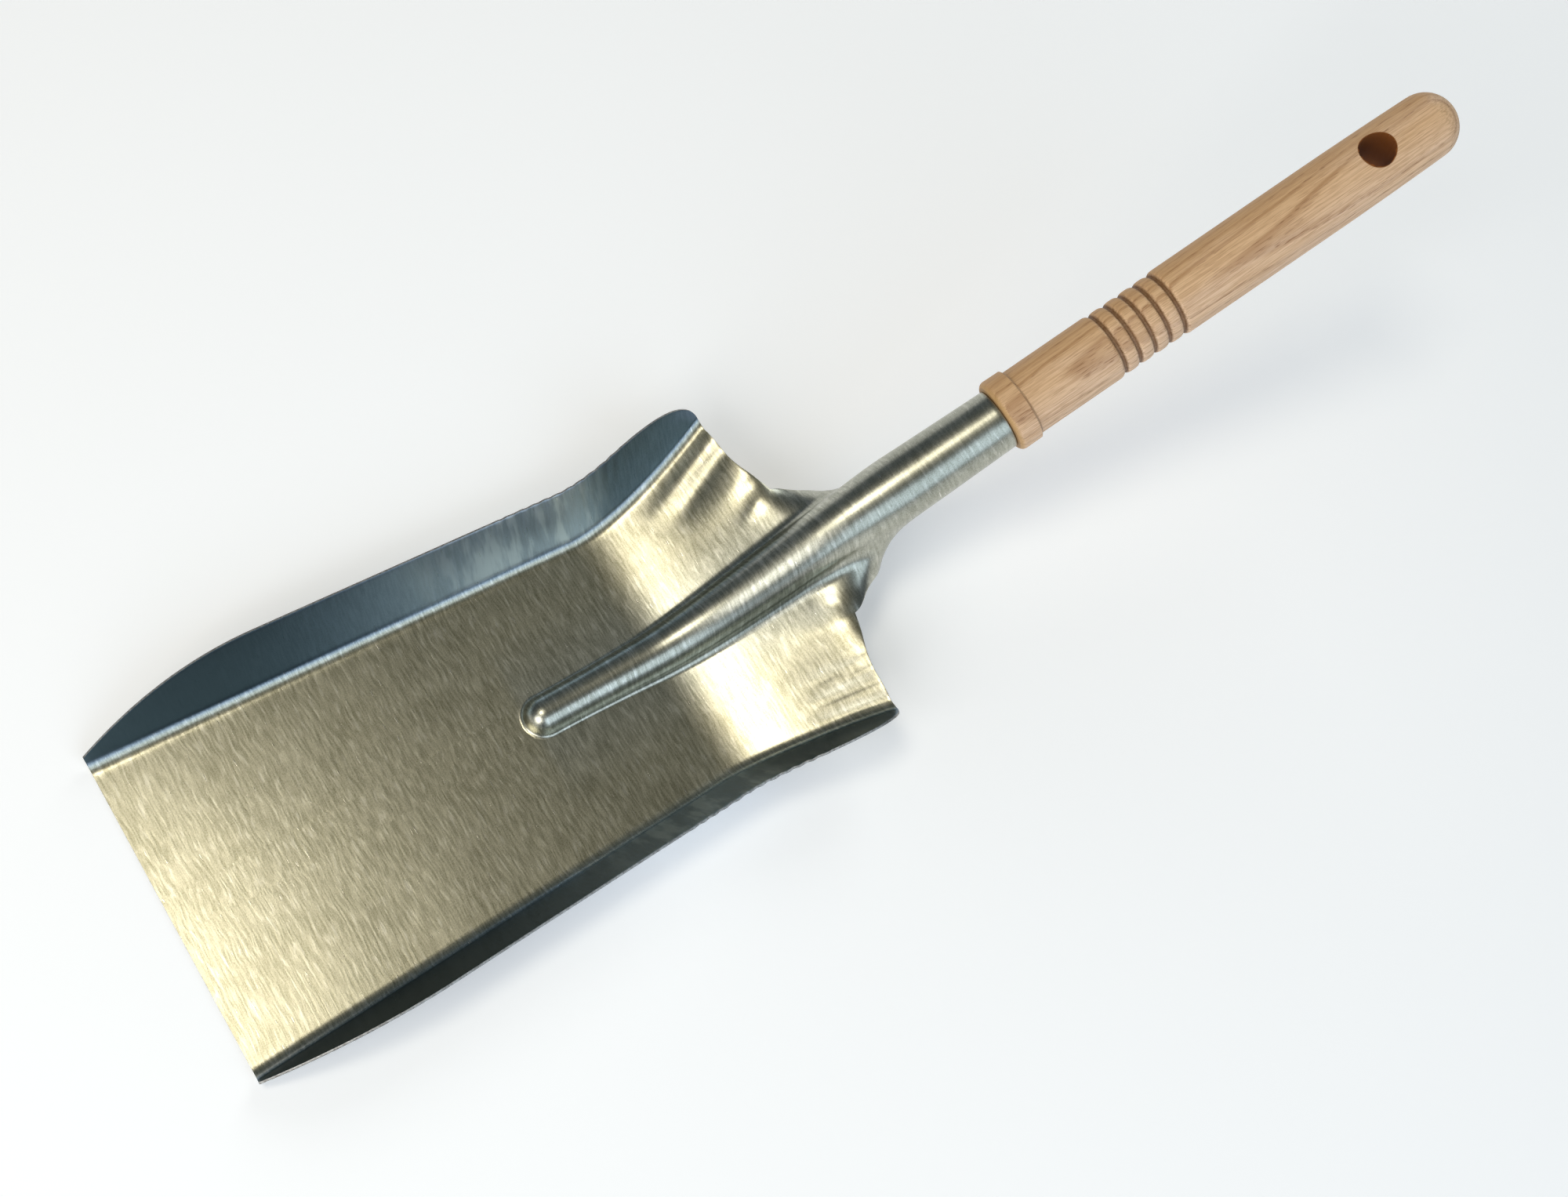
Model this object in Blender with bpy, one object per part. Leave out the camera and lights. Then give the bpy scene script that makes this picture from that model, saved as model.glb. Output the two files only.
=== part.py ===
"""Hand scoop: a pressed, zinc-coated steel blade, a turned wooden handle and two nails.

The blade is one sheet. It is folded into a pan with a raised rib, and the tongue behind the
pan is rolled into the tapered socket that takes the handle. X runs from the mouth to the
handle, Z is up, and the flat floor of the pan lies on the ground.
"""

import math

import bmesh
import bpy
from mathutils import Vector

MM = 0.001

# Sheet and clearance
SHEET = 0.8 * MM
GAP = 0.3 * MM

# Pan, measured on the middle of the sheet
PAN_LENGTH = 228.5 * MM
FLAT_LENGTH = 170.0 * MM
MOUTH_HALF_WIDTH = 51.5 * MM
WAIST_HALF_WIDTH = 46.2 * MM
HORN_HALF_WIDTH = 58.6 * MM
WALL_ANGLE = math.radians(64.0)
FOLD_RADIUS = 6.0 * MM
WALL_WIDTH = 27.6 * MM
WALL_WIDTH_AT_MOUTH = 8.0 * MM
MOUTH_RAMP = 60.0 * MM
HORN_LENGTH = 36.0 * MM
HORN_CORNER = math.radians(48.0)
HORN_SPREAD = 1.7

# Rib that stiffens the floor
RIB_NOSE = 121.8 * MM
RIB_HALF_WIDTH = 8.4 * MM
RIB_HEIGHT = 6.8 * MM
RIB_FOOT_RADIUS = 2.0 * MM
NECK_FOOT_RADIUS = 3.0 * MM
NECK_HALF_WIDTH = 14.6 * MM

# Neck and rolled socket
WEB_REACH = 6.5 * MM
NECK_REACH = 19.5 * MM
NECK_RISE = 32.4 * MM
SOCKET_SLOPE = math.radians(23.7)
SOCKET_ABOVE_NECK = 2.0 * MM
SOCKET_LENGTH = 63.0 * MM
SOCKET_OUTER_RADIUS = 11.05 * MM
SOCKET_TAPER = 0.0197
ROLL_LENGTH = 28.0 * MM
ROLL_AT_WEB = 0.12
BLANK_HALF_WIDTH = 35.2 * MM
SEAM_GAP = 0.6 * MM

# Handle
HANDLE_LENGTH = 187.5 * MM
TENON_LENGTH = 36.0 * MM
TENON_CHAMFER = 2.0 * MM
COLLAR_RADIUS = 13.65 * MM
COLLAR_LENGTH = 8.9 * MM
COLLAR_ROUNDING = 2.0 * MM
SHANK_RADIUS = 12.4 * MM
BEAD_RADIUS = 12.15 * MM
GRIP_RADIUS = 12.55 * MM
GRIP_END_RADIUS = 12.0 * MM
GROOVE_START = 44.5 * MM
GROOVE_PITCH = 6.1 * MM
GROOVE_WIDTH = 1.9 * MM
GROOVE_DEPTH = 1.0 * MM
GROOVE_COUNT = 5
END_ROUNDING = 10.5 * MM
HANG_HOLE_RADIUS = 6.2 * MM
HANG_HOLE_FROM_END = 33.4 * MM

# Nails under the socket, one on each side of the seam
NAIL_RADIUS = 0.9 * MM
NAIL_LENGTH = 8.5 * MM
NAIL_POINT = 2.5 * MM
NAIL_HEAD_RADIUS = 2.2 * MM
NAIL_HEAD_TOP_RADIUS = 1.3 * MM
NAIL_HEAD_EDGE = 0.45 * MM
NAIL_HEAD_THICKNESS = 0.9 * MM
NAIL_FROM_SHOULDER = 14.0 * MM
NAIL_ANGLE = math.radians(35.0)

# Materials, as colour, metallic and roughness
ZINC = ((0.60, 0.58, 0.50), 1.0, 0.36)
WOOD = ((0.72, 0.50, 0.32), 0.0, 0.5)
NAIL_STEEL = ((0.45, 0.45, 0.44), 1.0, 0.4)

# Columns of the sheet, from the crown of the rib to the top edge of the wall
CROWN_STEPS = 5
FOOT_STEPS = 2
WEB_STEPS = 3
FLOOR_STEPS = 2
FOLD_STEPS = 3
WALL_STEPS = 3

# Rows of the sheet, from the mouth to the shoulder of the handle
MOUTH_ROWS = 7
FLOOR_ROWS = 3
NOSE_ROWS = 5
RIB_ROWS = 3
HEEL_ROWS = 10
ROLL_ROWS = 8
TUBE_ROWS = 4

# Steps of the turned shapes
ROUND_STEPS = 28
COLLAR_STEPS = 3
GROOVE_STEPS = 3
GRIP_STEPS = 3
DOME_STEPS = 6
NAIL_STEPS = 12
SHARP = math.radians(35.0)
MERGE = 1e-6

# Places that follow from the sizes above
NECK_X = PAN_LENGTH + NECK_REACH
TONGUE_X = PAN_LENGTH + WEB_REACH
HORN_START = PAN_LENGTH - HORN_LENGTH
NOSE_END = RIB_NOSE + RIB_HALF_WIDTH
FOLD_WIDTH = FOLD_RADIUS * WALL_ANGLE
AXIS = Vector((math.cos(SOCKET_SLOPE), 0.0, math.sin(SOCKET_SLOPE)))
AXIS_UP = Vector((-math.sin(SOCKET_SLOPE), 0.0, math.cos(SOCKET_SLOPE)))
NECK_AXIS = Vector((NECK_X, 0.0, NECK_RISE + SOCKET_ABOVE_NECK))
SHOULDER = NECK_AXIS + AXIS * SOCKET_LENGTH


def clear_scene():
    """Removes every object that the scene starts with."""
    for item in list(bpy.data.objects):
        bpy.data.objects.remove(item, do_unlink=True)


def smooth_step(value):
    """Goes from 0 to 1 with level ends."""
    value = min(max(value, 0.0), 1.0)
    return value * value * (3.0 - 2.0 * value)


def spaced(start, end, count):
    """Gives count values that step evenly from just after start up to end."""
    return [start + (end - start) * step / count for step in range(1, count + 1)]


# ---------------------------------------------------------------- the shape of the sheet

def socket_radius(along):
    """Radius of the middle of the sheet, at a distance along the socket from the neck."""
    return SOCKET_OUTER_RADIUS - SHEET / 2 + SOCKET_TAPER * (SOCKET_LENGTH - along)


def floor_height(x):
    """Height of the floor: level, then an S-shaped rise that ends at the socket's slope."""
    span = NECK_X - FLAT_LENGTH
    t = min(max((x - FLAT_LENGTH) / span, 0.0), 1.0)
    rise = NECK_RISE * (3.0 - 2.0 * t) * t * t
    lean = math.tan(SOCKET_SLOPE) * span * (t - 1.0) * t * t
    return rise + lean


def rib_growth(x):
    """How far the rib has grown from its nose (0) to the neck (1)."""
    return smooth_step((x - NOSE_END) / (NECK_X - NOSE_END))


def rib_sizes(x):
    """Half width, height and foot radius of the rib at x."""
    growth = rib_growth(x)
    neck_height = SOCKET_ABOVE_NECK + socket_radius(0.0) / math.cos(SOCKET_SLOPE)
    half_width = RIB_HALF_WIDTH + (NECK_HALF_WIDTH - RIB_HALF_WIDTH) * growth
    height = RIB_HEIGHT + (neck_height - RIB_HEIGHT) * growth
    foot = RIB_FOOT_RADIUS + (NECK_FOOT_RADIUS - RIB_FOOT_RADIUS) * growth
    return half_width, height, foot


def rib_bends(x):
    """Crown radius, foot radius and turn of the two arcs that make half of the rib."""
    half_width, height, foot = rib_sizes(x)
    turn = 2.0 * math.atan2(height, half_width)
    crown = half_width / math.sin(turn) - foot
    return crown, foot, turn


def fold_half_width(x):
    """Half width of the floor: it narrows to a waist and spreads again to the horns."""
    waist = MOUTH_HALF_WIDTH + (WAIST_HALF_WIDTH - MOUTH_HALF_WIDTH) * min(x / FLAT_LENGTH, 1.0)
    spread = max((x - FLAT_LENGTH) / (PAN_LENGTH - FLAT_LENGTH), 0.0) ** HORN_SPREAD
    return waist + (HORN_HALF_WIDTH - WAIST_HALF_WIDTH) * spread


def flange_width(x):
    """Width of the fold and wall together, from the floor's edge to the top edge."""
    ramp = 1.0 - (1.0 - min(x / MOUTH_RAMP, 1.0)) ** 2
    width = WALL_WIDTH_AT_MOUTH + (WALL_WIDTH - WALL_WIDTH_AT_MOUTH) * ramp
    horn = min(max((x - HORN_START) / HORN_LENGTH, 0.0), 1.0)
    return width * math.sqrt(1.0 - horn * horn)


def follow_bends(pieces):
    """Walks outwards and returns (y, z) points; a positive turn bends the sheet downwards."""
    heading = 0.0
    y = 0.0
    z = 0.0
    points = [(y, z)]
    for length, turn, steps in pieces:
        step_turn = turn / steps
        half = step_turn / 2
        shrink = math.sin(half) / half if abs(half) > 1e-9 else 1.0
        chord = length / steps * shrink
        for _ in range(steps):
            y += chord * math.cos(heading + half)
            z -= chord * math.sin(heading + half)
            heading += step_turn
            points.append((y, z))
    return points


def tongue_pieces(x):
    """The crown, foot and web of the rib, out to the edge of the tongue that is rolled up."""
    crown, foot, turn = rib_bends(x)
    web = BLANK_HALF_WIDTH - (crown + foot) * turn
    return [
        (crown * turn, turn, CROWN_STEPS),
        (foot * turn, -turn, FOOT_STEPS),
        (web, 0.0, WEB_STEPS),
    ]


def pan_section(x, flange):
    """Half of the pan's section at x, as (y, z) points from the crown to the top edge."""
    pieces = tongue_pieces(x)
    half_width = rib_sizes(x)[0]
    web = pieces[2][0]
    floor = fold_half_width(x) - half_width - web
    pieces.append((floor, 0.0, FLOOR_STEPS))
    pieces.append((FOLD_WIDTH, -WALL_ANGLE, FOLD_STEPS))
    pieces.append((flange - FOLD_WIDTH, 0.0, WALL_STEPS))
    points = follow_bends(pieces)
    crown_height = floor_height(x) + rib_sizes(x)[1]
    return [(y, crown_height + z) for y, z in points]


def nose_height(x, y):
    """Height of the rounded front end of the rib above the floor."""
    back = (NOSE_END - x) / RIB_HALF_WIDTH
    scale = math.sqrt(max(1.0 - back * back, 0.0))
    crown, foot, turn = rib_bends(NOSE_END)
    if y >= scale * RIB_HALF_WIDTH:
        return 0.0
    if y <= scale * crown * math.sin(turn):
        drop = scale * crown - math.sqrt((scale * crown) ** 2 - y * y)
        return scale * RIB_HEIGHT - drop
    inward = scale * RIB_HALF_WIDTH - y
    return scale * foot - math.sqrt((scale * foot) ** 2 - inward * inward)


def rear_reach(column, flange):
    """Where a column of the pan ends at the back: across the web, then round the horn."""
    web_end = CROWN_STEPS + FOOT_STEPS + WEB_STEPS
    fold_start = web_end + FLOOR_STEPS
    if column <= web_end:
        return TONGUE_X
    if column <= fold_start:
        part = (column - web_end) / FLOOR_STEPS
        return TONGUE_X + (PAN_LENGTH - TONGUE_X) * part
    if column <= fold_start + FOLD_STEPS:
        reach = FOLD_WIDTH * (column - fold_start) / FOLD_STEPS
    else:
        part = (column - fold_start - FOLD_STEPS) / WALL_STEPS
        reach = FOLD_WIDTH + (flange - FOLD_WIDTH) * part
    return HORN_START + HORN_LENGTH * math.sqrt(1.0 - (reach / WALL_WIDTH) ** 2)


def pan_point(station, column):
    """A point of the pan: station is x on the centre line, column counts from the crown."""
    corner = HORN_START + HORN_LENGTH * math.cos(HORN_CORNER)
    back_flange = flange_width(corner)
    flange = flange_width(station * corner / TONGUE_X)
    x = station * rear_reach(column, back_flange) / TONGUE_X
    if x >= NOSE_END:
        y, z = pan_section(x, flange)[column]
        return Vector((x, y, z))
    y, z = pan_section(NOSE_END, flange)[column]
    rib_edge = CROWN_STEPS + FOOT_STEPS
    if column <= rib_edge:
        return Vector((x, y, nose_height(x, y)))
    spread = fold_half_width(x) - fold_half_width(NOSE_END)
    fold_start = rib_edge + WEB_STEPS + FLOOR_STEPS
    if column >= fold_start:
        return Vector((x, y + spread, z))
    web_end = rib_edge + WEB_STEPS
    part = max(column - web_end, 0) / FLOOR_STEPS
    return Vector((x, y + spread * part, 0.0))


def crown_line(x):
    """The crown of the rib and socket at x, and its distance along the socket."""
    if x < NECK_X:
        height = floor_height(x) + rib_sizes(x)[1]
        return Vector((x, 0.0, height)), (x - NECK_X) / math.cos(SOCKET_SLOPE)
    along = (x - NECK_X) / math.cos(SOCKET_SLOPE)
    for _ in range(3):
        back = socket_radius(along) * math.sin(SOCKET_SLOPE)
        along = (x - NECK_X + back) / math.cos(SOCKET_SLOPE)
    ease = smooth_step((x - NECK_X) / ROLL_LENGTH)
    on_tube = NECK_AXIS + AXIS * along + AXIS_UP * socket_radius(along)
    straight = NECK_RISE + rib_sizes(NECK_X)[1] + (x - NECK_X) * math.tan(SOCKET_SLOPE)
    height = straight + (on_tube.z - straight) * ease
    return Vector((x, 0.0, height)), along


def tongue_point(x, column):
    """A point of the tongue, where the sheet rolls from the rib into the closed socket."""
    crown, along = crown_line(x)
    roll = smooth_step(ROLL_AT_WEB + (1.0 - ROLL_AT_WEB) * (x - TONGUE_X) / ROLL_LENGTH)
    radius = socket_radius(along)
    pieces = tongue_pieces(TONGUE_X)
    blank = sum(piece[0] for piece in pieces)
    wanted = math.pi * radius - SEAM_GAP / 2
    grow = 1.0 + (wanted / blank - 1.0) * roll
    rolled = []
    for length, turn, steps in pieces:
        new_length = length * grow
        new_turn = turn * (1.0 - roll) + new_length / radius * roll
        rolled.append((new_length, new_turn, steps))
    y, z = follow_bends(rolled)[column]
    tilt = SOCKET_SLOPE * roll
    down = Vector((math.sin(tilt), 0.0, -math.cos(tilt)))
    return crown + Vector((0.0, y, 0.0)) + down * -z


# ---------------------------------------------------------------- mesh helpers

def new_object(name, builder):
    """Makes a smooth-shaded object from a bmesh."""
    mesh = bpy.data.meshes.new(name)
    builder.normal_update()
    builder.to_mesh(mesh)
    builder.free()
    mesh.shade_smooth()
    mesh.set_sharp_from_angle(angle=SHARP)
    item = bpy.data.objects.new(name, mesh)
    bpy.context.scene.collection.objects.link(item)
    return item


def give_material(item, name, look):
    """Gives an object a plain Principled material."""
    colour, metallic, roughness = look
    material = bpy.data.materials.new(name)
    material.use_nodes = True
    shader = material.node_tree.nodes["Principled BSDF"]
    shader.inputs["Base Color"].default_value = (*colour, 1.0)
    shader.inputs["Metallic"].default_value = metallic
    shader.inputs["Roughness"].default_value = roughness
    item.data.materials.append(material)


def turned(profile, steps, upright=False):
    """Spins (along, radius) points, which start and end on the axis, round X or upright Z."""
    builder = bmesh.new()
    points = [builder.verts.new((along, 0.0, radius)) for along, radius in profile]
    edges = [builder.edges.new(pair) for pair in zip(points, points[1:])]
    bmesh.ops.spin(
        builder,
        geom=points + edges,
        cent=(0.0, 0.0, 0.0),
        axis=(1.0, 0.0, 0.0),
        angle=2.0 * math.pi,
        steps=steps,
        use_merge=True,
    )
    bmesh.ops.remove_doubles(builder, verts=builder.verts[:], dist=MERGE)
    bmesh.ops.recalc_face_normals(builder, faces=builder.faces[:])
    if upright:
        turn = Vector((1.0, 0.0, 0.0)).rotation_difference(Vector((0.0, 0.0, 1.0)))
        bmesh.ops.rotate(builder, verts=builder.verts[:], matrix=turn.to_matrix())
    return builder


def cut(item, cutter):
    """Cuts a hidden guide object out of an item."""
    cutter.hide_render = True
    cutter.display_type = "WIRE"
    modifier = item.modifiers.new("cut", "BOOLEAN")
    modifier.operation = "DIFFERENCE"
    modifier.solver = "EXACT"
    modifier.object = cutter


def place_on_socket(item, parent, along=0.0, roll=0.0):
    """Puts an item whose X is the socket's axis at a distance along it from the shoulder."""
    item.parent = parent
    item.location = SHOULDER + AXIS * along
    item.rotation_mode = "QUATERNION"
    turn = Vector((1.0, 0.0, 0.0)).rotation_difference(AXIS)
    item.rotation_quaternion = turn
    if roll:
        spin = Vector((0.0, 0.0, -1.0)).rotation_difference(
            Vector((0.0, math.sin(roll), -math.cos(roll))))
        item.rotation_quaternion = turn @ spin


# ---------------------------------------------------------------- the pieces

def pan_stations():
    """Places of the blade's rows along the pan; they crowd where the wall climbs at the mouth."""
    quarter = math.pi / 2
    stations = [0.0]
    stations += [MOUTH_RAMP * (1.0 - math.cos(turn)) for turn in spaced(0.0, quarter, MOUTH_ROWS)]
    stations += spaced(MOUTH_RAMP, RIB_NOSE, FLOOR_ROWS)
    stations += [NOSE_END - RIB_HALF_WIDTH * math.cos(turn) for turn in spaced(0.0, quarter, NOSE_ROWS)]
    stations += spaced(NOSE_END, FLAT_LENGTH, RIB_ROWS)
    stations += spaced(FLAT_LENGTH, TONGUE_X, HEEL_ROWS)
    return stations


def socket_stations():
    """Places of the blade's rows along the crown of the socket."""
    crown_end = SHOULDER - AXIS * GAP + AXIS_UP * socket_radius(SOCKET_LENGTH)
    roll_end = TONGUE_X + ROLL_LENGTH
    return spaced(TONGUE_X, roll_end, ROLL_ROWS) + spaced(roll_end, crown_end.x, TUBE_ROWS)


def make_blade(parent):
    """The blade: pan, rib and rolled socket, pressed from one sheet."""
    pan = pan_stations()
    socket = socket_stations()
    tongue_columns = CROWN_STEPS + FOOT_STEPS + WEB_STEPS
    half_columns = tongue_columns + FLOOR_STEPS + FOLD_STEPS + WALL_STEPS
    rows = len(pan) + len(socket) - 1
    builder = bmesh.new()
    bmesh.ops.create_grid(builder, x_segments=rows, y_segments=2 * half_columns, size=1.0)
    unused = []
    for vert in builder.verts:
        row = round((vert.co.x + 1.0) / 2 * rows)
        column = round(vert.co.y * half_columns)
        side = -1.0 if column < 0 else 1.0
        if row < len(pan):
            point = pan_point(pan[row], abs(column))
        elif abs(column) <= tongue_columns:
            point = tongue_point(socket[row - len(pan)], abs(column))
        else:
            unused.append(vert)
            continue
        vert.co = (point.x, point.y * side, point.z)
    bmesh.ops.delete(builder, geom=unused, context="VERTS")
    blade = new_object("blade", builder)
    give_material(blade, "zinc_coated_steel", ZINC)
    thickness = blade.modifiers.new("sheet", "SOLIDIFY")
    thickness.thickness = SHEET
    thickness.offset = 0.0
    thickness.use_even_offset = True
    blade.parent = parent
    return blade


def groove_profile():
    """The turned rings: grooves at a fixed pitch, each a smooth dip, with beads between them."""
    bottom = BEAD_RADIUS - GROOVE_DEPTH
    points = []
    for groove in range(GROOVE_COUNT):
        middle = GROOVE_START + groove * GROOVE_PITCH
        for step in range(-GROOVE_STEPS, GROOVE_STEPS + 1):
            edge = BEAD_RADIUS
            if groove == 0 and step < 0:
                edge = SHANK_RADIUS
            if groove == GROOVE_COUNT - 1 and step > 0:
                edge = GRIP_RADIUS
            part = step / GROOVE_STEPS
            dip = (1.0 + math.cos(math.pi * part)) / 2
            points.append((middle + GROOVE_WIDTH * part, edge + (bottom - edge) * dip))
    return points


def handle_profile():
    """The handle's outline as (along, radius), from the tenon's end to the rounded grip end."""
    tenon = socket_radius(SOCKET_LENGTH) - SHEET / 2 - GAP
    points = [(-TENON_LENGTH, 0.0), (-TENON_LENGTH, tenon - TENON_CHAMFER)]
    points += [(TENON_CHAMFER - TENON_LENGTH, tenon), (0.0, tenon)]
    points.append((0.0, COLLAR_RADIUS - COLLAR_ROUNDING))
    for turn in spaced(0.0, math.pi / 2, COLLAR_STEPS):
        along = COLLAR_ROUNDING * (1.0 - math.cos(turn))
        points.append((along, COLLAR_RADIUS - COLLAR_ROUNDING * (1.0 - math.sin(turn))))
    step_drop = COLLAR_RADIUS - SHANK_RADIUS
    points.append((COLLAR_LENGTH - step_drop / 2, COLLAR_RADIUS))
    points.append((COLLAR_LENGTH + step_drop / 2, SHANK_RADIUS))
    points += groove_profile()
    last_groove = GROOVE_START + (GROOVE_COUNT - 1) * GROOVE_PITCH
    swell = (last_groove + HANDLE_LENGTH) / 2
    dome = HANDLE_LENGTH - END_ROUNDING
    points.append((swell, GRIP_RADIUS))
    for part in spaced(0.0, 1.0, GRIP_STEPS):
        radius = GRIP_RADIUS + (GRIP_END_RADIUS - GRIP_RADIUS) * part * part
        points.append((swell + (dome - swell) * part, radius))
    for turn in spaced(0.0, math.pi / 2, DOME_STEPS)[:-1]:
        points.append((dome + END_ROUNDING * math.sin(turn), GRIP_END_RADIUS * math.cos(turn)))
    points.append((HANDLE_LENGTH, 0.0))
    return points


def make_handle(parent):
    """The turned wooden handle with its tenon, collar, rings and hang hole."""
    handle = new_object("handle", turned(handle_profile(), ROUND_STEPS))
    give_material(handle, "turned_wood", WOOD)
    place_on_socket(handle, parent)
    reach = 2.0 * GRIP_RADIUS
    outline = [(-reach, 0.0), (-reach, HANG_HOLE_RADIUS), (reach, HANG_HOLE_RADIUS), (reach, 0.0)]
    hole = new_object("hang_hole_cutter", turned(outline, ROUND_STEPS, upright=True))
    place_on_socket(hole, parent, along=HANDLE_LENGTH - HANG_HOLE_FROM_END)
    cut(handle, hole)
    return handle


def make_nail(name, side, parent, handle, blade):
    """One nail through the socket wall into the tenon, with its clearance holes."""
    wall = SOCKET_OUTER_RADIUS + SOCKET_TAPER * NAIL_FROM_SHOULDER
    seat = wall + GAP
    top = seat + NAIL_HEAD_THICKNESS
    tip = seat - NAIL_LENGTH
    outline = [
        (-top, 0.0),
        (-top, NAIL_HEAD_TOP_RADIUS),
        (-seat - NAIL_HEAD_EDGE, NAIL_HEAD_RADIUS),
        (-seat, NAIL_HEAD_RADIUS),
        (-seat, NAIL_RADIUS),
        (-tip - NAIL_POINT, NAIL_RADIUS),
        (-tip, 0.0),
    ]
    bore = [
        (-top, 0.0),
        (-top, NAIL_RADIUS + GAP),
        (-tip + GAP, NAIL_RADIUS + GAP),
        (-tip + GAP, 0.0),
    ]
    for label, profile in ((name, outline), (name + "_cutter", bore)):
        piece = new_object(label, turned(profile, NAIL_STEPS, upright=True))
        place_on_socket(piece, parent, along=-NAIL_FROM_SHOULDER, roll=side * NAIL_ANGLE)
        if label == name:
            give_material(piece, "nail_steel", NAIL_STEEL)
        else:
            cut(handle, piece)
            cut(blade, piece)


def main():
    """Makes the scoop, with its floor on the ground and its middle over the origin."""
    clear_scene()
    root = bpy.data.objects.new("scoop", None)
    bpy.context.scene.collection.objects.link(root)
    blade = make_blade(root)
    handle = make_handle(root)
    make_nail("socket_nail_left", 1.0, root, handle, blade)
    make_nail("socket_nail_right", -1.0, root, handle, blade)
    handle_end = SHOULDER + AXIS * (HANDLE_LENGTH - END_ROUNDING)
    reach = math.hypot(END_ROUNDING * AXIS.x, GRIP_END_RADIUS * AXIS.z)
    root.location = (-(handle_end.x + reach) / 2, 0.0, SHEET / 2)


main()
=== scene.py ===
"""Looks of a grain scoop: a pressed zinc-coated blade, a turned wooden handle and two nails.

X runs from the mouth of the pan to the end of the handle, Z is up out of the pan and Y runs
across it. Sizes are in metres, and every finished piece has its place in its mesh.
"""

import logging
import math
from collections.abc import Callable, Iterable, Sequence
from dataclasses import dataclass
from enum import Enum, IntEnum

import bmesh
import bpy
from mathutils import Matrix, Vector, noise


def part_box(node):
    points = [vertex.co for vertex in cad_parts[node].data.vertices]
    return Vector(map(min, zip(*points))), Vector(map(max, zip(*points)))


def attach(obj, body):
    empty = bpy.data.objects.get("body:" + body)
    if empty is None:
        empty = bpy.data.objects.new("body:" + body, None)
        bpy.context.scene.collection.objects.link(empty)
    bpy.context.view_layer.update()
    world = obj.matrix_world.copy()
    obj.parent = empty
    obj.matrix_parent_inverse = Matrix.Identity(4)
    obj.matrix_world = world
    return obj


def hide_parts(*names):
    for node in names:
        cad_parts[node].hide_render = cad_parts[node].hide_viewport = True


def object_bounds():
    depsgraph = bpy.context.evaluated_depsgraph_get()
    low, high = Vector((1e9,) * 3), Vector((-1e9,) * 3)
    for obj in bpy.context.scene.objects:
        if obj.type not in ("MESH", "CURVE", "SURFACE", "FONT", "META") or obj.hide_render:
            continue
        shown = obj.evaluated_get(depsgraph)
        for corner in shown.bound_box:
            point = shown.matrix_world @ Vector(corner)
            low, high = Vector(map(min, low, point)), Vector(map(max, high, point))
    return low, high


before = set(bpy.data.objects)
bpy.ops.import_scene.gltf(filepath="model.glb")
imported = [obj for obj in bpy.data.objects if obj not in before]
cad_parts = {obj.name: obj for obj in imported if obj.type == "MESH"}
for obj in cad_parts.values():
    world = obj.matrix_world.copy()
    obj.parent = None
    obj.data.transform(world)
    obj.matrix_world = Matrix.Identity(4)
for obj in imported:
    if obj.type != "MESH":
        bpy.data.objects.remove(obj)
CAD_LOW, CAD_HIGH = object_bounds()

MM = 0.001
MICRON = 1e-6
SLIVER = 0.01 * MM
CREASE = math.radians(35.0)
BODY = "root"
LOG = logging.getLogger("grain_scoop")
Colour = tuple[float, float, float]
Span = tuple[float, float]


class Slot(Enum):
    """The record's material slots."""

    ZINC = "zinc_coated_steel"
    WOOD = "turned_wood"
    NAIL = "nail_steel"


class Side(Enum):
    """The object's two sides; the value is the sign of Y."""

    LEFT = 1.0
    RIGHT = -1.0


class Band(IntEnum):
    """The strips of half of the sheet's section, from the rib's crown to the top edge."""

    CROWN = 0
    FOOT = 1
    WEB = 2
    FLOOR = 3
    FOLD = 4
    WALL = 5


# ---------------------------------------------------------------- plain sums


def smooth_step(value: float) -> float:
    """Goes from 0 to 1 with level ends.

    Args:
        value: Where to read the curve; below 0 gives 0 and above 1 gives 1.

    Returns:
        The height of the curve.
    """
    value = min(max(value, 0.0), 1.0)
    return value * value * (3.0 - 2.0 * value)


def spaced(start: float, end: float, count: int) -> list[float]:
    """Steps evenly from just after start up to end.

    Args:
        start: The value before the first.
        end: The last value.
        count: How many values to give.

    Returns:
        The values.
    """
    return [start + (end - start) * step / count for step in range(1, count + 1)]


def millimetres(*sizes: float) -> tuple[float, ...]:
    """Turns millimetres into metres."""
    return tuple(size * MM for size in sizes)


def window(value: float, start: float, end: float, soft: float) -> float:
    """Is 1 between start and end and fades to 0 outside over a soft distance.

    Args:
        value: Where to read it.
        start: Where it is first full.
        end: Where it is last full.
        soft: How far the fade reaches on either side.

    Returns:
        A share from 0 to 1.
    """
    return smooth_step((value - start + soft) / soft) * smooth_step((end + soft - value) / soft)


def ripple(*place: float) -> float:
    """Smooth noise of about -1 to 1 at up to three coordinates."""
    padded = (*place, 0.0, 0.0)[:3]
    return noise.noise(Vector(padded))


# ---------------------------------------------------------------- shader sums


Number = "Sum | float"


def math_node(operation: str, swapped: bool = False) -> Callable[..., "Sum"]:
    """Makes a method of Sum that adds one Math node.

    Args:
        operation: The node's operation.
        swapped: Whether the other term comes first, as in the reflected forms.

    Returns:
        The method. It takes the other terms, if any, and gives back the node's result.
    """
    def method(self: "Sum", *others: Number) -> "Sum":
        """Adds the node."""
        terms = (*others, self) if swapped else (self, *others)
        return self.shader.add("ShaderNodeMath", {"operation": operation}, dict(enumerate(terms)))
    return method


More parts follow.
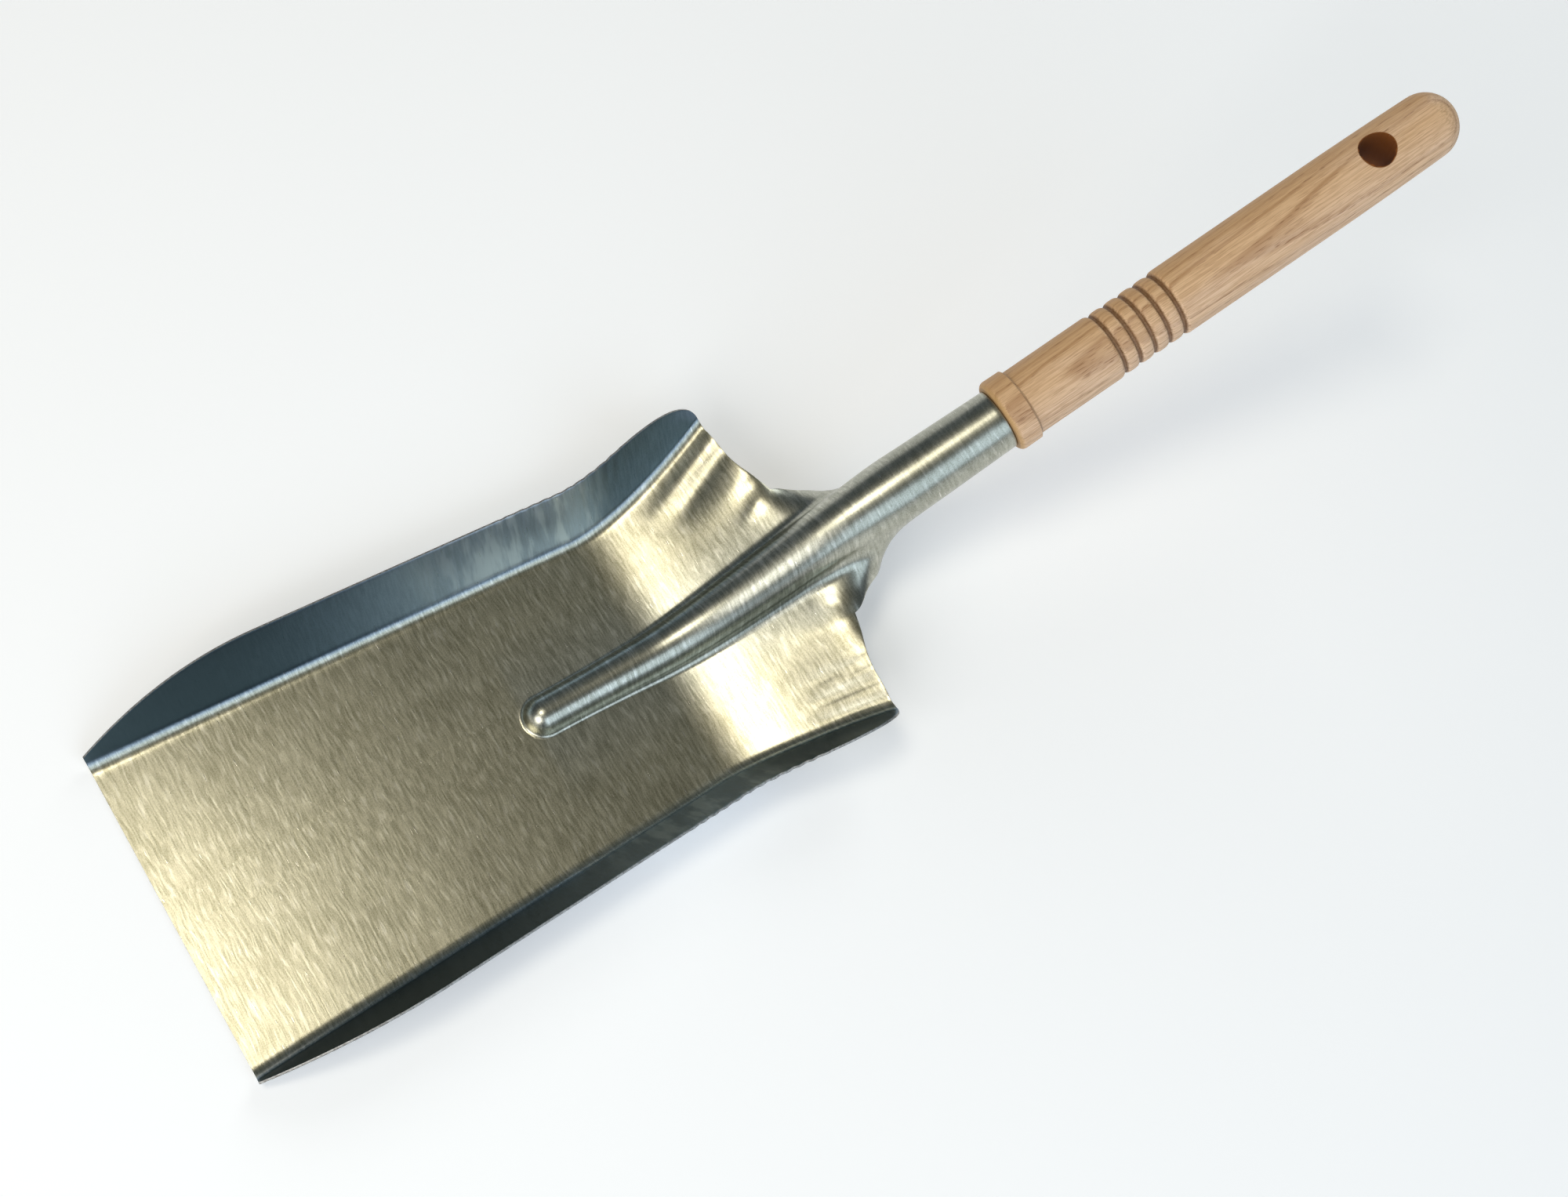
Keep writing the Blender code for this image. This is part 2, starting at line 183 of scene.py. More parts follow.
class Sum:
    """An output socket on which sums can be written; each sum adds its Math node."""

    __add__ = math_node("ADD")
    __radd__ = math_node("ADD", swapped=True)
    __sub__ = math_node("SUBTRACT")
    __rsub__ = math_node("SUBTRACT", swapped=True)
    __mul__ = math_node("MULTIPLY")
    __rmul__ = math_node("MULTIPLY", swapped=True)
    __truediv__ = math_node("DIVIDE")
    __rtruediv__ = math_node("DIVIDE", swapped=True)
    __pow__ = math_node("POWER")
    size = math_node("ABSOLUTE")
    nearest = math_node("ROUND")
    part = math_node("FRACT")
    at_least = math_node("MAXIMUM")
    at_most = math_node("MINIMUM")

    def __init__(self, shader: "Shader", socket: bpy.types.NodeSocket) -> None:
        """Wraps a socket of a shader."""
        self.shader = shader
        self.socket = socket

    def ramp(self, start: float, end: float) -> "Sum":
        """Turns start into 0 and end into 1, with level ends.

        Args:
            start: The value that becomes 0.
            end: The value that becomes 1; it may be below start.

        Returns:
            The share, held between 0 and 1.
        """
        settings = {"interpolation_type": "SMOOTHSTEP"}
        low, high = sorted((start, end))
        share = self.shader.add("ShaderNodeMapRange", settings, {0: self, 1: low, 2: high})
        return share if start < end else 1.0 - share


class Shader:
    """The nodes of one material or world, made through one method."""

    def __init__(self, owner: bpy.types.Material | bpy.types.World) -> None:
        """Empties the owner's node tree and takes it over."""
        owner.use_nodes = True
        self.tree = owner.node_tree
        self.tree.nodes.clear()

    def add(self, kind: str, settings: dict | None = None, inputs: dict | None = None,
            output: int = 0) -> Sum:
        """Makes one node.

        Args:
            kind: The node's type.
            settings: Properties to set first.
            inputs: Values or links of its sockets, by name or by place.
            output: Which of its outputs to give back.

        Returns:
            The chosen output.
        """
        node = self.tree.nodes.new(kind)
        for name, value in (settings or {}).items():
            setattr(node, name, value)
        for name, value in (inputs or {}).items():
            socket = node.inputs[name]
            if isinstance(value, Sum):
                self.tree.links.new(value.socket, socket)
            else:
                socket.default_value = value
        return Sum(self, node.outputs[output]) if node.outputs else Sum(self, None)

    def split(self, vector: Sum) -> tuple[Sum, Sum, Sum]:
        """Splits a vector into its three numbers."""
        first = self.add("ShaderNodeSeparateXYZ", None, {0: vector})
        outputs = first.socket.node.outputs
        return first, Sum(self, outputs[1]), Sum(self, outputs[2])

    def join(self, x: Number, y: Number, z: Number) -> Sum:
        """Makes a vector of three numbers."""
        return self.add("ShaderNodeCombineXYZ", None, {0: x, 1: y, 2: z})

    def mix(self, share: Number, first: "Sum | Colour", second: "Sum | Colour") -> Sum:
        """Mixes two colours.

        Args:
            share: How much of the second colour shows.
            first: The colour at 0.
            second: The colour at 1.

        Returns:
            The mixed colour.
        """
        colours = [c if isinstance(c, Sum) else (*c, 1.0) for c in (first, second)]
        inputs = {0: share, 6: colours[0], 7: colours[1]}
        return self.add("ShaderNodeMix", {"data_type": "RGBA"}, inputs, 2)

    def cloud(self, place: Sum, scale: float, detail: float = 2.0, roughness: float = 0.5) -> Sum:
        """Noise of 0 to 1.

        Args:
            place: The coordinates that it is read at.
            scale: How many waves fit in one unit.
            detail: How many finer layers it has.
            roughness: How strong the finer layers are.

        Returns:
            The noise's value.
        """
        inputs = {"Vector": place, "Scale": scale, "Detail": detail, "Roughness": roughness}
        return self.add("ShaderNodeTexNoise", None, inputs)

    def stretched(self, place: Sequence[Number], size: Sequence[float], detail: float = 2.0,
                  roughness: float = 0.5) -> Sum:
        """Noise that is drawn out along the axes.

        Args:
            place: The three coordinates that it is read at.
            size: Length of its waves along each of them.
            detail: How many finer layers it has.
            roughness: How strong the finer layers are.

        Returns:
            The noise's value.
        """
        waves = [along / length for along, length in zip(place, size)]
        return self.cloud(self.join(*waves), 1.0, detail, roughness)

    def layered(self, base: "Sum | Colour", layers: Iterable[tuple[Sum, "Sum | Colour"]]) -> Sum:
        """Lays colours over one another.

        Args:
            base: The lowest colour.
            layers: How much of each further colour shows, and the colour, from the lowest up.

        Returns:
            The colour on top.
        """
        for share, colour in layers:
            base = self.mix(share, base, colour)
        return base

    def relief(self, height: Sum) -> Sum:
        """A normal bent by a height in metres."""
        return self.add("ShaderNodeBump", None, {"Strength": 1.0, "Distance": 1.0, "Height": height})

    def close(self, surface: dict) -> None:
        """Ends a material's tree with its surface, given by its sockets."""
        shader = self.add("ShaderNodeBsdfPrincipled", None, surface)
        self.add("ShaderNodeOutputMaterial", None, {"Surface": shader})


# ---------------------------------------------------------------- the pressed sheet


@dataclass(frozen=True)
class SheetShape:
    """The shape of the one sheet: pan, rib and rolled socket, on the middle of the sheet."""

    thickness: float = 0.8 * MM
    shoulder_gap: float = 0.3 * MM
    pan_length: float = 228.5 * MM
    flat_length: float = 170.0 * MM
    mouth_half_width: float = 51.5 * MM
    waist_half_width: float = 46.2 * MM
    horn_half_width: float = 58.6 * MM
    horn_spread: float = 1.7
    wall_angle: float = math.radians(64.0)
    fold_radius: float = 6.0 * MM
    wall_width: float = 27.6 * MM
    wall_width_at_mouth: float = 8.0 * MM
    mouth_ramp: float = 60.0 * MM
    horn_length: float = 36.0 * MM
    horn_corner: float = math.radians(48.0)
    rear_hollow: float = 1.5 * MM
    rib_nose: float = 121.8 * MM
    rib_half_width: float = 8.4 * MM
    rib_height: float = 6.8 * MM
    rib_foot_radius: float = 2.2 * MM
    neck_foot_radius: float = 5.0 * MM
    neck_half_width: float = 14.6 * MM
    web_reach: float = 6.5 * MM
    neck_reach: float = 19.5 * MM
    neck_rise: float = 32.4 * MM
    slope: float = math.radians(23.7)
    socket_above_neck: float = 2.0 * MM
    socket_length: float = 63.0 * MM
    socket_outer_radius: float = 11.05 * MM
    socket_taper: float = 0.0197
    roll_length: float = 28.0 * MM
    roll_lead: float = 14.0 * MM
    roll_fade: float = 1.5
    notch_length: float = 18.0 * MM
    notch_depth: float = 0.34
    blank_half_width: float = 35.2 * MM
    seam_gap: float = 0.6 * MM

    @property
    def neck_x(self) -> float:
        """Where the socket's straight axis starts."""
        return self.pan_length + self.neck_reach

    @property
    def tongue_x(self) -> float:
        """Where the pan ends behind the web and the rolled tongue starts."""
        return self.pan_length + self.web_reach

    @property
    def nose_end(self) -> float:
        """Where the rib's rounded nose meets its full width."""
        return self.rib_nose + self.rib_half_width

    @property
    def horn_start(self) -> float:
        """Where the wall starts to fall towards the rear edge."""
        return self.pan_length - self.horn_length

    @property
    def fold_width(self) -> float:
        """Length of the fold's arc."""
        return self.fold_radius * self.wall_angle

    @property
    def axis(self) -> Vector:
        """Direction of the socket and handle."""
        return Vector((math.cos(self.slope), 0.0, math.sin(self.slope)))

    @property
    def axis_up(self) -> Vector:
        """Direction from the socket's axis to its crown."""
        return Vector((-math.sin(self.slope), 0.0, math.cos(self.slope)))

    @property
    def shoulder(self) -> Vector:
        """Point on the axis where the handle's collar meets the socket."""
        neck = Vector((self.neck_x, 0.0, self.neck_rise + self.socket_above_neck))
        return neck + self.axis * self.socket_length

    @property
    def origin(self) -> Vector:
        """The mouth's edge in the object's frame."""
        return Vector((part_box("blade")[0].x, 0.0, self.thickness / 2))

    def handle_frame(self) -> Matrix:
        """Takes X along the handle from the shoulder into the object's frame."""
        columns = (self.axis, Vector((0.0, 1.0, 0.0)), self.axis_up)
        turn = Matrix(columns).transposed().to_4x4()
        return Matrix.Translation(self.origin + self.shoulder) @ turn

    def socket_radius(self, along: float) -> float:
        """Radius of the middle of the sheet at a distance along the socket from the neck."""
        outer = self.socket_outer_radius - self.thickness / 2
        return outer + self.socket_taper * (self.socket_length - along)

    def floor_height(self, x: float) -> float:
        """Height of the floor: level, then an S-shaped rise that ends at the slope.

        Args:
            x: Distance from the mouth.

        Returns:
            The height above the level floor.
        """
        span = self.neck_x - self.flat_length
        part = min(max((x - self.flat_length) / span, 0.0), 1.0)
        rise = self.neck_rise * (3.0 - 2.0 * part) * part * part
        lean = math.tan(self.slope) * span * (part - 1.0) * part * part
        return rise + lean

    def rib_sizes(self, x: float) -> tuple[float, float, float]:
        """Half width, height and foot radius of the rib.

        Args:
            x: Distance from the mouth.

        Returns:
            The three sizes.
        """
        growth = smooth_step((x - self.nose_end) / (self.neck_x - self.nose_end))
        neck_height = self.socket_above_neck + self.socket_radius(0.0) / math.cos(self.slope)
        half_width = self.rib_half_width + (self.neck_half_width - self.rib_half_width) * growth
        height = self.rib_height + (neck_height - self.rib_height) * growth
        foot = self.rib_foot_radius + (self.neck_foot_radius - self.rib_foot_radius) * growth
        return half_width, height, foot

    def rib_bends(self, x: float) -> tuple[float, float, float]:
        """Crown radius, foot radius and turn of the two arcs of half of the rib.

        Args:
            x: Distance from the mouth.

        Returns:
            The two radii and the angle.
        """
        half_width, height, foot = self.rib_sizes(x)
        turn = 2.0 * math.atan2(height, half_width)
        return half_width / math.sin(turn) - foot, foot, turn

    def fold_half_width(self, x: float) -> float:
        """Half width of the floor: it narrows to a waist and spreads again to the horns.

        Args:
            x: Distance from the mouth.

        Returns:
            The half width.
        """
        narrowing = (self.waist_half_width - self.mouth_half_width) * min(x / self.flat_length, 1.0)
        reach = max((x - self.flat_length) / (self.pan_length - self.flat_length), 0.0)
        spread = (self.horn_half_width - self.waist_half_width) * reach ** self.horn_spread
        return self.mouth_half_width + narrowing + spread

    def flange_width(self, x: float) -> float:
        """Width of the fold and wall together, from the floor's edge to the top edge.

        Args:
            x: Distance from the mouth.

        Returns:
            The width.
        """
        ramp = 1.0 - (1.0 - min(x / self.mouth_ramp, 1.0)) ** 2
        width = self.wall_width_at_mouth + (self.wall_width - self.wall_width_at_mouth) * ramp
        horn = min(max((x - self.horn_start) / self.horn_length, 0.0), 1.0)
        return width * math.sqrt(1.0 - horn * horn)

    def tongue_bends(self, x: float) -> list[tuple[float, float]]:
        """Length and turn of the crown, the foot and the web, out to the tongue's edge.

        Args:
            x: Distance from the mouth.

        Returns:
            One (length, turn) pair for each band.
        """
        crown, foot, turn = self.rib_bends(x)
        web = self.blank_half_width - (crown + foot) * turn
        return [(crown * turn, turn), (foot * turn, -turn), (web, 0.0)]

    def pan_bends(self, x: float, flange: float) -> list[tuple[float, float]]:
        """Length and turn of every band of half of the pan's section.

        Args:
            x: Distance from the mouth.
            flange: Width of the fold and wall together.

        Returns:
            One (length, turn) pair for each band.
        """
        bends = self.tongue_bends(x)
        floor = self.fold_half_width(x) - self.rib_sizes(x)[0] - bends[Band.WEB][0]
        fold = (self.fold_width, -self.wall_angle)
        return [*bends, (floor, 0.0), fold, (flange - self.fold_width, 0.0)]

    @staticmethod
    def follow(bends: Sequence[tuple[float, float]], band: Band, share: float) -> Vector:
        """Walks outwards along the bands of a section.

        Args:
            bends: Length and turn of each band; a positive turn bends the sheet down.
            band: The band that the point is in.
            share: How far across that band it is.

        Returns:
            (distance walked, y, z) of the point, from the crown.
        """
        walked = y = z = heading = 0.0
        for index, (length, turn) in enumerate(bends[:band + 1]):
            part = share if index == band else 1.0
            half = turn * part / 2
            chord = length * part * (math.sin(half) / half if abs(half) > 1e-9 else 1.0)
            y += chord * math.cos(heading + half)
            z -= chord * math.sin(heading + half)
            heading += turn * part
            walked += length * part
        return Vector((walked, y, z))

    def nose_height(self, x: float, y: float) -> float:
        """Height of the rib's front end above the floor: its section spun round a point.

        Args:
            x: Distance from the mouth.
            y: Distance from the middle.

        Returns:
            The height.
        """
        crown, foot, turn = self.rib_bends(self.nose_end)
        away = math.hypot(self.nose_end - x, y)
        if away >= self.rib_half_width:
            return 0.0
        if away <= crown * math.sin(turn):
            return self.rib_height - crown + math.sqrt(crown * crown - away * away)
        inward = self.rib_half_width - away
        return foot - math.sqrt(foot * foot - inward * inward)

    def rear_reach(self, band: Band, share: float, flange: float) -> float:
        """Where the pan ends at the back, from the web round the horn to the top edge.

        Args:
            band: The band that the edge point is in.
            share: How far across that band it is.
            flange: Width of the fold and wall at the horn's corner.

        Returns:
            Distance of the rear edge from the mouth.
        """
        if band <= Band.WEB:
            return self.tongue_x
        if band == Band.FLOOR:
            straight = self.tongue_x + (self.pan_length - self.tongue_x) * share
            return straight - self.rear_hollow * math.sin(math.pi * share) ** 2
        if band == Band.FOLD:
            reach = self.fold_width * share
        else:
            reach = self.fold_width + (flange - self.fold_width) * share
        fall = math.sqrt(1.0 - (reach / self.wall_width) ** 2)
        return self.horn_start + self.horn_length * fall

    def pan_point(self, station: float, band: Band, share: float) -> tuple[Vector, Vector]:
        """A point of the pan.

        Args:
            station: Its x on the centre line.
            band: The band that it is in.
            share: How far across that band it is.

        Returns:
            The point, and its place on the flat sheet as (x, distance across, share of wall).
        """
        corner = self.horn_start + self.horn_length * math.cos(self.horn_corner)
        flange = self.flange_width(station * corner / self.tongue_x)
        rear = self.rear_reach(band, share, self.flange_width(corner))
        x = station * rear / self.tongue_x
        section_x = max(x, self.nose_end)
        walked, y, z = self.follow(self.pan_bends(section_x, flange), band, share)
        rise = share if band == Band.WALL else 0.0
        place = Vector((x, walked, rise))
        if x >= self.nose_end:
            top = self.floor_height(x) + self.rib_sizes(x)[1]
            return Vector((x, y, top + z)) + self.web_sag(x, band, share), place
        if band <= Band.FOOT:
            return Vector((x, y, self.nose_height(x, y))), place
        spread = self.fold_half_width(x) - self.fold_half_width(self.nose_end)
        if band >= Band.FOLD:
            return Vector((x, y + spread, self.rib_height + z)), place
        part = share if band == Band.FLOOR else 0.0
        return Vector((x, y + spread * part, 0.0)), place

    def web_sag(self, x: float, band: Band, share: float) -> Vector:
        """How far the heel already leans into the socket's roll, fading out across the floor.

        Args:
            x: Distance from the mouth.
            band: The band that the point is in.
            share: How far across that band it is.

        Returns:
            The step to add to the point.
        """
        if x <= self.tongue_x - self.roll_lead or band >= Band.FOLD:
            return Vector()
        fade = 1.0 - smooth_step(self.roll_fade * share) if band == Band.FLOOR else 1.0
        edge_band, edge_share = (Band.WEB, 1.0) if band == Band.FLOOR else (band, share)
        _, y, z = self.follow(self.tongue_bends(x), edge_band, edge_share)
        top = self.floor_height(x) + self.rib_sizes(x)[1]
        rolled, _ = self.tongue_point(x, edge_band, edge_share)
        return (rolled - Vector((x, y, top + z))) * fade

    def crown_line(self, x: float) -> tuple[Vector, float]:
        """The crown of the rib and socket.

        Args:
            x: Distance from the mouth.

        Returns:
            The point, and its distance along the socket from the neck.
        """
        along = (x - self.neck_x) / math.cos(self.slope)
        if x < self.neck_x:
            return Vector((x, 0.0, self.floor_height(x) + self.rib_sizes(x)[1])), along
        # The radius depends on the distance along, so a few rounds bring both together.
        for _ in range(3):
            back = self.socket_radius(along) * math.sin(self.slope)
            along = (x - self.neck_x + back) / math.cos(self.slope)
        neck = Vector((self.neck_x, 0.0, self.neck_rise + self.socket_above_neck))
        on_tube = neck + self.axis * along + self.axis_up * self.socket_radius(along)
        straight = self.neck_rise + self.rib_sizes(self.neck_x)[1]
        straight += (x - self.neck_x) * math.tan(self.slope)
        ease = smooth_step((x - self.neck_x) / self.roll_length)
        return Vector((x, 0.0, straight + (on_tube.z - straight) * ease)), along

    def tongue_point(self, x: float, band: Band, share: float) -> tuple[Vector, Vector]:
        """A point of the tongue, where the sheet rolls from the rib into the socket.

        Args:
            x: Where its row crosses the crown.
            band: The band that it is in.
            share: How far across that band it is.

        Returns:
            The point, and its place on the flat sheet as (x, distance across, 0).
        """
        crown, along = self.crown_line(x)
        lead = self.roll_lead
        roll = smooth_step((x - self.tongue_x + lead) / (self.roll_length + lead)) ** 2
        radius = self.socket_radius(along)
        flat = self.tongue_bends(min(x, self.tongue_x))
        wanted = math.pi * radius - self.seam_gap / 2
        grow = 1.0 + (wanted / sum(length for length, _ in flat) - 1.0) * roll
        past = min(max((x - self.tongue_x) / self.notch_length, 0.0), 1.0)
        notch = self.notch_depth * math.sin(math.pi * past) ** 2
        rolled = []
        for index, (length, turn) in enumerate(flat):
            longer = length * (grow - notch if index == Band.WEB else grow)
            rolled.append((longer, turn * (1.0 - roll) + longer / radius * roll))
        walked, y, z = self.follow(rolled, band, share)
        tilt = self.slope * roll
        down = Vector((math.sin(tilt), 0.0, -math.cos(tilt)))
        return crown + Vector((0.0, y, 0.0)) - down * z, Vector((x, walked, 0.0))


@dataclass(frozen=True)
class PressMark:
    """A long shallow dent or ridge that the press left on the rising heel."""

    start: tuple[float, float]
    end: tuple[float, float]
    half_width: float
    height: float
    fade: float = 1.6

    def lift(self, x: float, y: float) -> float:
        """Height of the mark at a place.

        Args:
            x: Distance from the mouth.
            y: Distance from the middle, with its side.

        Returns:
            The height, negative in a dent.
        """
        first = Vector(self.start) * MM
        line = Vector(self.end) * MM - first
        offset = Vector((x, y)) - first
        part = offset.dot(line) / line.length_squared
        away = (offset - line * part).length / (self.half_width * MM)
        return self.height * MM * math.exp(-away * away) * smooth_step(part * self.fade)


PRESS_MARKS = (
    PressMark((194.0, 41.0), (230.0, 54.0), 2.7, 0.60),
    PressMark((199.0, 34.5), (232.0, 48.5), 3.0, -0.58),
    PressMark((203.0, 29.0), (235.0, 37.0), 4.2, 0.34),
    PressMark((221.0, 28.5), (236.0, 33.0), 1.8, -0.34),
    PressMark((219.0, 20.0), (236.0, 28.0), 2.2, 0.34),
    PressMark((200.0, -31.0), (232.0, -40.0), 2.6, 0.26),
    PressMark((206.0, -36.0), (231.0, -43.5), 1.2, -0.28),
    PressMark((202.0, -40.0), (230.0, -46.5), 1.5, 0.34),
    PressMark((204.0, -43.5), (229.0, -50.5), 1.1, -0.30),
    PressMark((199.0, -46.0), (229.0, -54.0), 1.6, 0.34),
    PressMark((206.0, -51.0), (228.0, -57.5), 1.1, -0.24),
    PressMark((208.0, -18.0), (236.0, -31.0), 4.2, -0.42),
    PressMark((222.0, -14.0), (236.0, -23.0), 3.0, 0.32),
)


# ---------------------------------------------------------------- mesh helpers


def finish_mesh(name: str, builder: bmesh.types.BMesh,
                finishes: Iterable[bpy.types.Material]) -> bpy.types.Object:
    """Makes a smooth-shaded object at the origin.

    Args:
        name: The piece's name.
        builder: Its mesh, which is freed.
        finishes: Its materials, in order.

    Returns:
        The object.
    """
    mesh = bpy.data.meshes.new(name)
    builder.normal_update()
    builder.to_mesh(mesh)
    builder.free()
    mesh.shade_smooth()
    mesh.set_sharp_from_angle(angle=CREASE)
    for finish in finishes:
        mesh.materials.append(finish)
    piece = bpy.data.objects.new(name, mesh)
    bpy.context.scene.collection.objects.link(piece)
    return piece


def turned(profile: Sequence[tuple[float, float]], steps: int) -> bmesh.types.BMesh:
    """Spins an outline round X.

    Args:
        profile: (along, radius) points, which start and end on the axis.
        steps: How many steps the full turn has.

    Returns:
        The closed mesh.
    """
    builder = bmesh.new()
    points = [builder.verts.new((along, 0.0, radius)) for along, radius in profile]
    edges = [builder.edges.new(pair) for pair in zip(points, points[1:])]
    bmesh.ops.spin(builder, geom=points + edges, cent=(0.0, 0.0, 0.0), axis=(1.0, 0.0, 0.0),
                   angle=2.0 * math.pi, steps=steps, use_merge=True)
    bmesh.ops.remove_doubles(builder, verts=builder.verts[:], dist=MICRON)
    bmesh.ops.recalc_face_normals(builder, faces=builder.faces[:])
    return builder


def carve(piece: bpy.types.Object, cutter: bpy.types.Object) -> None:
    """Cuts a guide object out of a piece for good, and removes the guide and any slivers.

    Args:
        piece: The object that is cut.
        cutter: The guide.
    """
    cut = piece.modifiers.new("cut", "BOOLEAN")
    cut.operation = "DIFFERENCE"
    cut.solver = "EXACT"
    cut.object = cutter
    graph = bpy.context.evaluated_depsgraph_get()
    carved = bpy.data.meshes.new_from_object(piece.evaluated_get(graph))
    builder = bmesh.new()
    builder.from_mesh(carved)
    bmesh.ops.remove_doubles(builder, verts=builder.verts[:], dist=SLIVER)
    many_sided = [face for face in builder.faces if len(face.verts) > 4]
    bmesh.ops.triangulate(builder, faces=many_sided)
    bmesh.ops.dissolve_degenerate(builder, edges=builder.edges[:], dist=SLIVER)
    builder.to_mesh(carved)
    builder.free()
    piece.modifiers.clear()
    piece.data = carved
    bpy.data.objects.remove(cutter, do_unlink=True)


def settle(piece: bpy.types.Object, node: str) -> None:
    """Puts a finished piece on its body, in place of its plain solid.

    Args:
        piece: The finished piece.
        node: The plain solid that it stands for.
    """
    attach(piece, BODY)
    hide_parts(node)
    LOG.info("%s: %d faces", piece.name, len(piece.data.polygons))


# ---------------------------------------------------------------- finishes


@dataclass(frozen=True)
class ZincFinish:
    """Cold-rolled sheet with a mottled zinc coating and fine lines across its width.

    Noise sizes are (along the blade, across it), and the third number that noise is read at only
    sets one pattern apart from another. The spans say where, from the mouth, the lines calm on the
    socket, where a painted sheen lies on the walls and where the walls carry painted shade. The walls
    and a little of the rib carry a painted cool cast, partly the zinc's own bluish grey.
    """

    floor_tone: Colour = (0.68, 0.65, 0.51)
    # Painted cool cast: the wall tone is partly the zinc's own bluish grey, partly painted reflection
    # of cool side light.
    painted_cool_wall_tone: Colour = (0.31, 0.42, 0.55)
    dark_tone: Colour = (0.31, 0.295, 0.205)
    # Painted cool cast on the dark mottle of the walls.
    painted_cool_dark_wall: Colour = (0.17, 0.24, 0.32)
    # Painted sheen: a lighter blotchy tone painted on the walls towards the rear.
    painted_sheen_tone: Colour = (0.74, 0.84, 0.92)
    # Painted shade: a dark navy tone painted on the walls near the mouth and at the horns.
    painted_wall_shade_tone: Colour = (0.075, 0.110, 0.135)
    scratch_tone: Colour = (0.90, 0.88, 0.80)
    roughness: float = 0.23
    line_size: Span = millimetres(0.8, 9.0)
    streak_size: Span = millimetres(1.3, 7.0)
    scratch_size: Span = millimetres(0.6, 6.0)
    patch_size: Span = millimetres(4.5, 26.0)
    grain: float = 0.42 * MM
    mottle: float = 18.0 * MM
    sway: float = 2.0 * MM
    sway_length: float = 12.0 * MM
    line_depth: float = 24.0 * MICRON
    grain_depth: float = 11.0 * MICRON
    scratch_depth: float = 6.0 * MICRON
    tube_span: Span = millimetres(225.0, 262.0)
    # Where the painted sheen on the walls starts and fades out, from the mouth.
    painted_sheen_front: Span = millimetres(60.0, 150.0)
    painted_sheen_rear: Span = millimetres(196.0, 172.0)
    patch_front: Span = millimetres(105.0, 140.0)
    # Where the painted shade on the walls lies: at the horns and near the mouth.
    horn_span: Span = millimetres(172.0, 190.0)
    mouth_span: Span = millimetres(160.0, 40.0)

    def make(self) -> bpy.types.Material:
        """Builds the material."""
        material = bpy.data.materials.new("zinc_coated_sheet")
        shader = Shader(material)
        place = shader.add("ShaderNodeAttribute", {"attribute_name": "on_sheet"}, None, 1)
        # The third number of on_sheet is the painted cool cast, which mixes in the wall tones.
        along, across, painted_cool = shader.split(place)
        solid = shader.add("ShaderNodeTexCoord", None, None, 3)
        swayed = along + shader.cloud(solid, 1.0 / self.sway_length, 1.0) * self.sway
        lines = shader.stretched((swayed, across, 0.0), (*self.line_size, 1.0), 3.0, 0.62)
        streaks = shader.stretched((swayed, across, 4.0), (*self.streak_size, 1.0), 2.0, 0.6)
        scratches = shader.stretched((along, across, 7.0), (*self.scratch_size, 1.0), 1.0)
        scratches = scratches.ramp(0.70, 0.79)
        patches = shader.stretched((along, across, 3.0), (*self.patch_size, 1.0), 3.0, 0.55)
        patches = patches.ramp(0.44, 0.62)
        grain = shader.cloud(solid, 1.0 / self.grain, 2.0, 0.65)
        mottle = shader.cloud(solid, 1.0 / self.mottle, 2.0)
        calm = 1.0 - along.ramp(*self.tube_span) * 0.6
        clean = (grain.ramp(0.38, 0.58) * 0.30 + lines.ramp(0.38, 0.62) * calm * 0.40
                 + streaks.ramp(0.42, 0.64) * 0.22 + mottle.ramp(0.35, 0.65) * 0.12)
        on_wall = painted_cool.ramp(0.75, 1.0)
        off_wall = 1.0 - on_wall
        # Painted sheen: the walls are painted lighter in blotches, fullest from about 150 to 172 mm and
        # gone by about 196 mm.
        painted_sheen_reach = on_wall * along.ramp(*self.painted_sheen_front) * along.ramp(*self.painted_sheen_rear)
        painted_sheen = painted_sheen_reach * (0.45 + patches * 0.55 * along.ramp(*self.patch_front))
        # Painted shade: the walls are painted dark navy near the mouth and at the horns.
        painted_wall_shade = (along.ramp(*self.horn_span) * 0.70).at_least(along.ramp(*self.mouth_span) * 0.95)
        layers = (
            (1.0 - clean.at_most(1.0), shader.mix(painted_cool, self.dark_tone, self.painted_cool_dark_wall)),
            (painted_sheen, self.painted_sheen_tone),
            (on_wall * painted_wall_shade, self.painted_wall_shade_tone),
            (streaks.ramp(0.56, 0.70) * calm * 0.30 * off_wall, self.scratch_tone),
            (scratches * off_wall * 0.7, self.scratch_tone),
        )
        height = (lines * calm * self.line_depth + grain * self.grain_depth
                  + scratches * self.scratch_depth)
        shader.close({
            "Base Color": shader.layered(shader.mix(painted_cool, self.floor_tone, self.painted_cool_wall_tone), layers),
            "Metallic": 1.0,
            "Roughness": self.roughness + lines * 0.08 + grain * 0.06 - scratches * 0.06,
            "Normal": shader.relief(height),
        })
        return material


@dataclass(frozen=True)
class BareSteelFinish:
    """Uncoated steel with fine wear: the sheared edge of the sheet and the nails."""

    name: str
    first_tone: Colour
    second_tone: Colour
    grain: float
    wear_span: Span
    roughness: float
    depth: float

    def make(self) -> bpy.types.Material:
        """Builds the material."""
        material = bpy.data.materials.new(self.name)
        shader = Shader(material)
        solid = shader.add("ShaderNodeTexCoord", None, None, 3)
        wear = shader.cloud(solid, 1.0 / self.grain, 3.0, 0.6)
        shader.close({
            "Base Color": shader.mix(wear.ramp(*self.wear_span), self.first_tone, self.second_tone),
            "Metallic": 1.0,
            "Roughness": self.roughness + wear * 0.2,
            "Normal": shader.relief(wear * self.depth),
        })
        return material


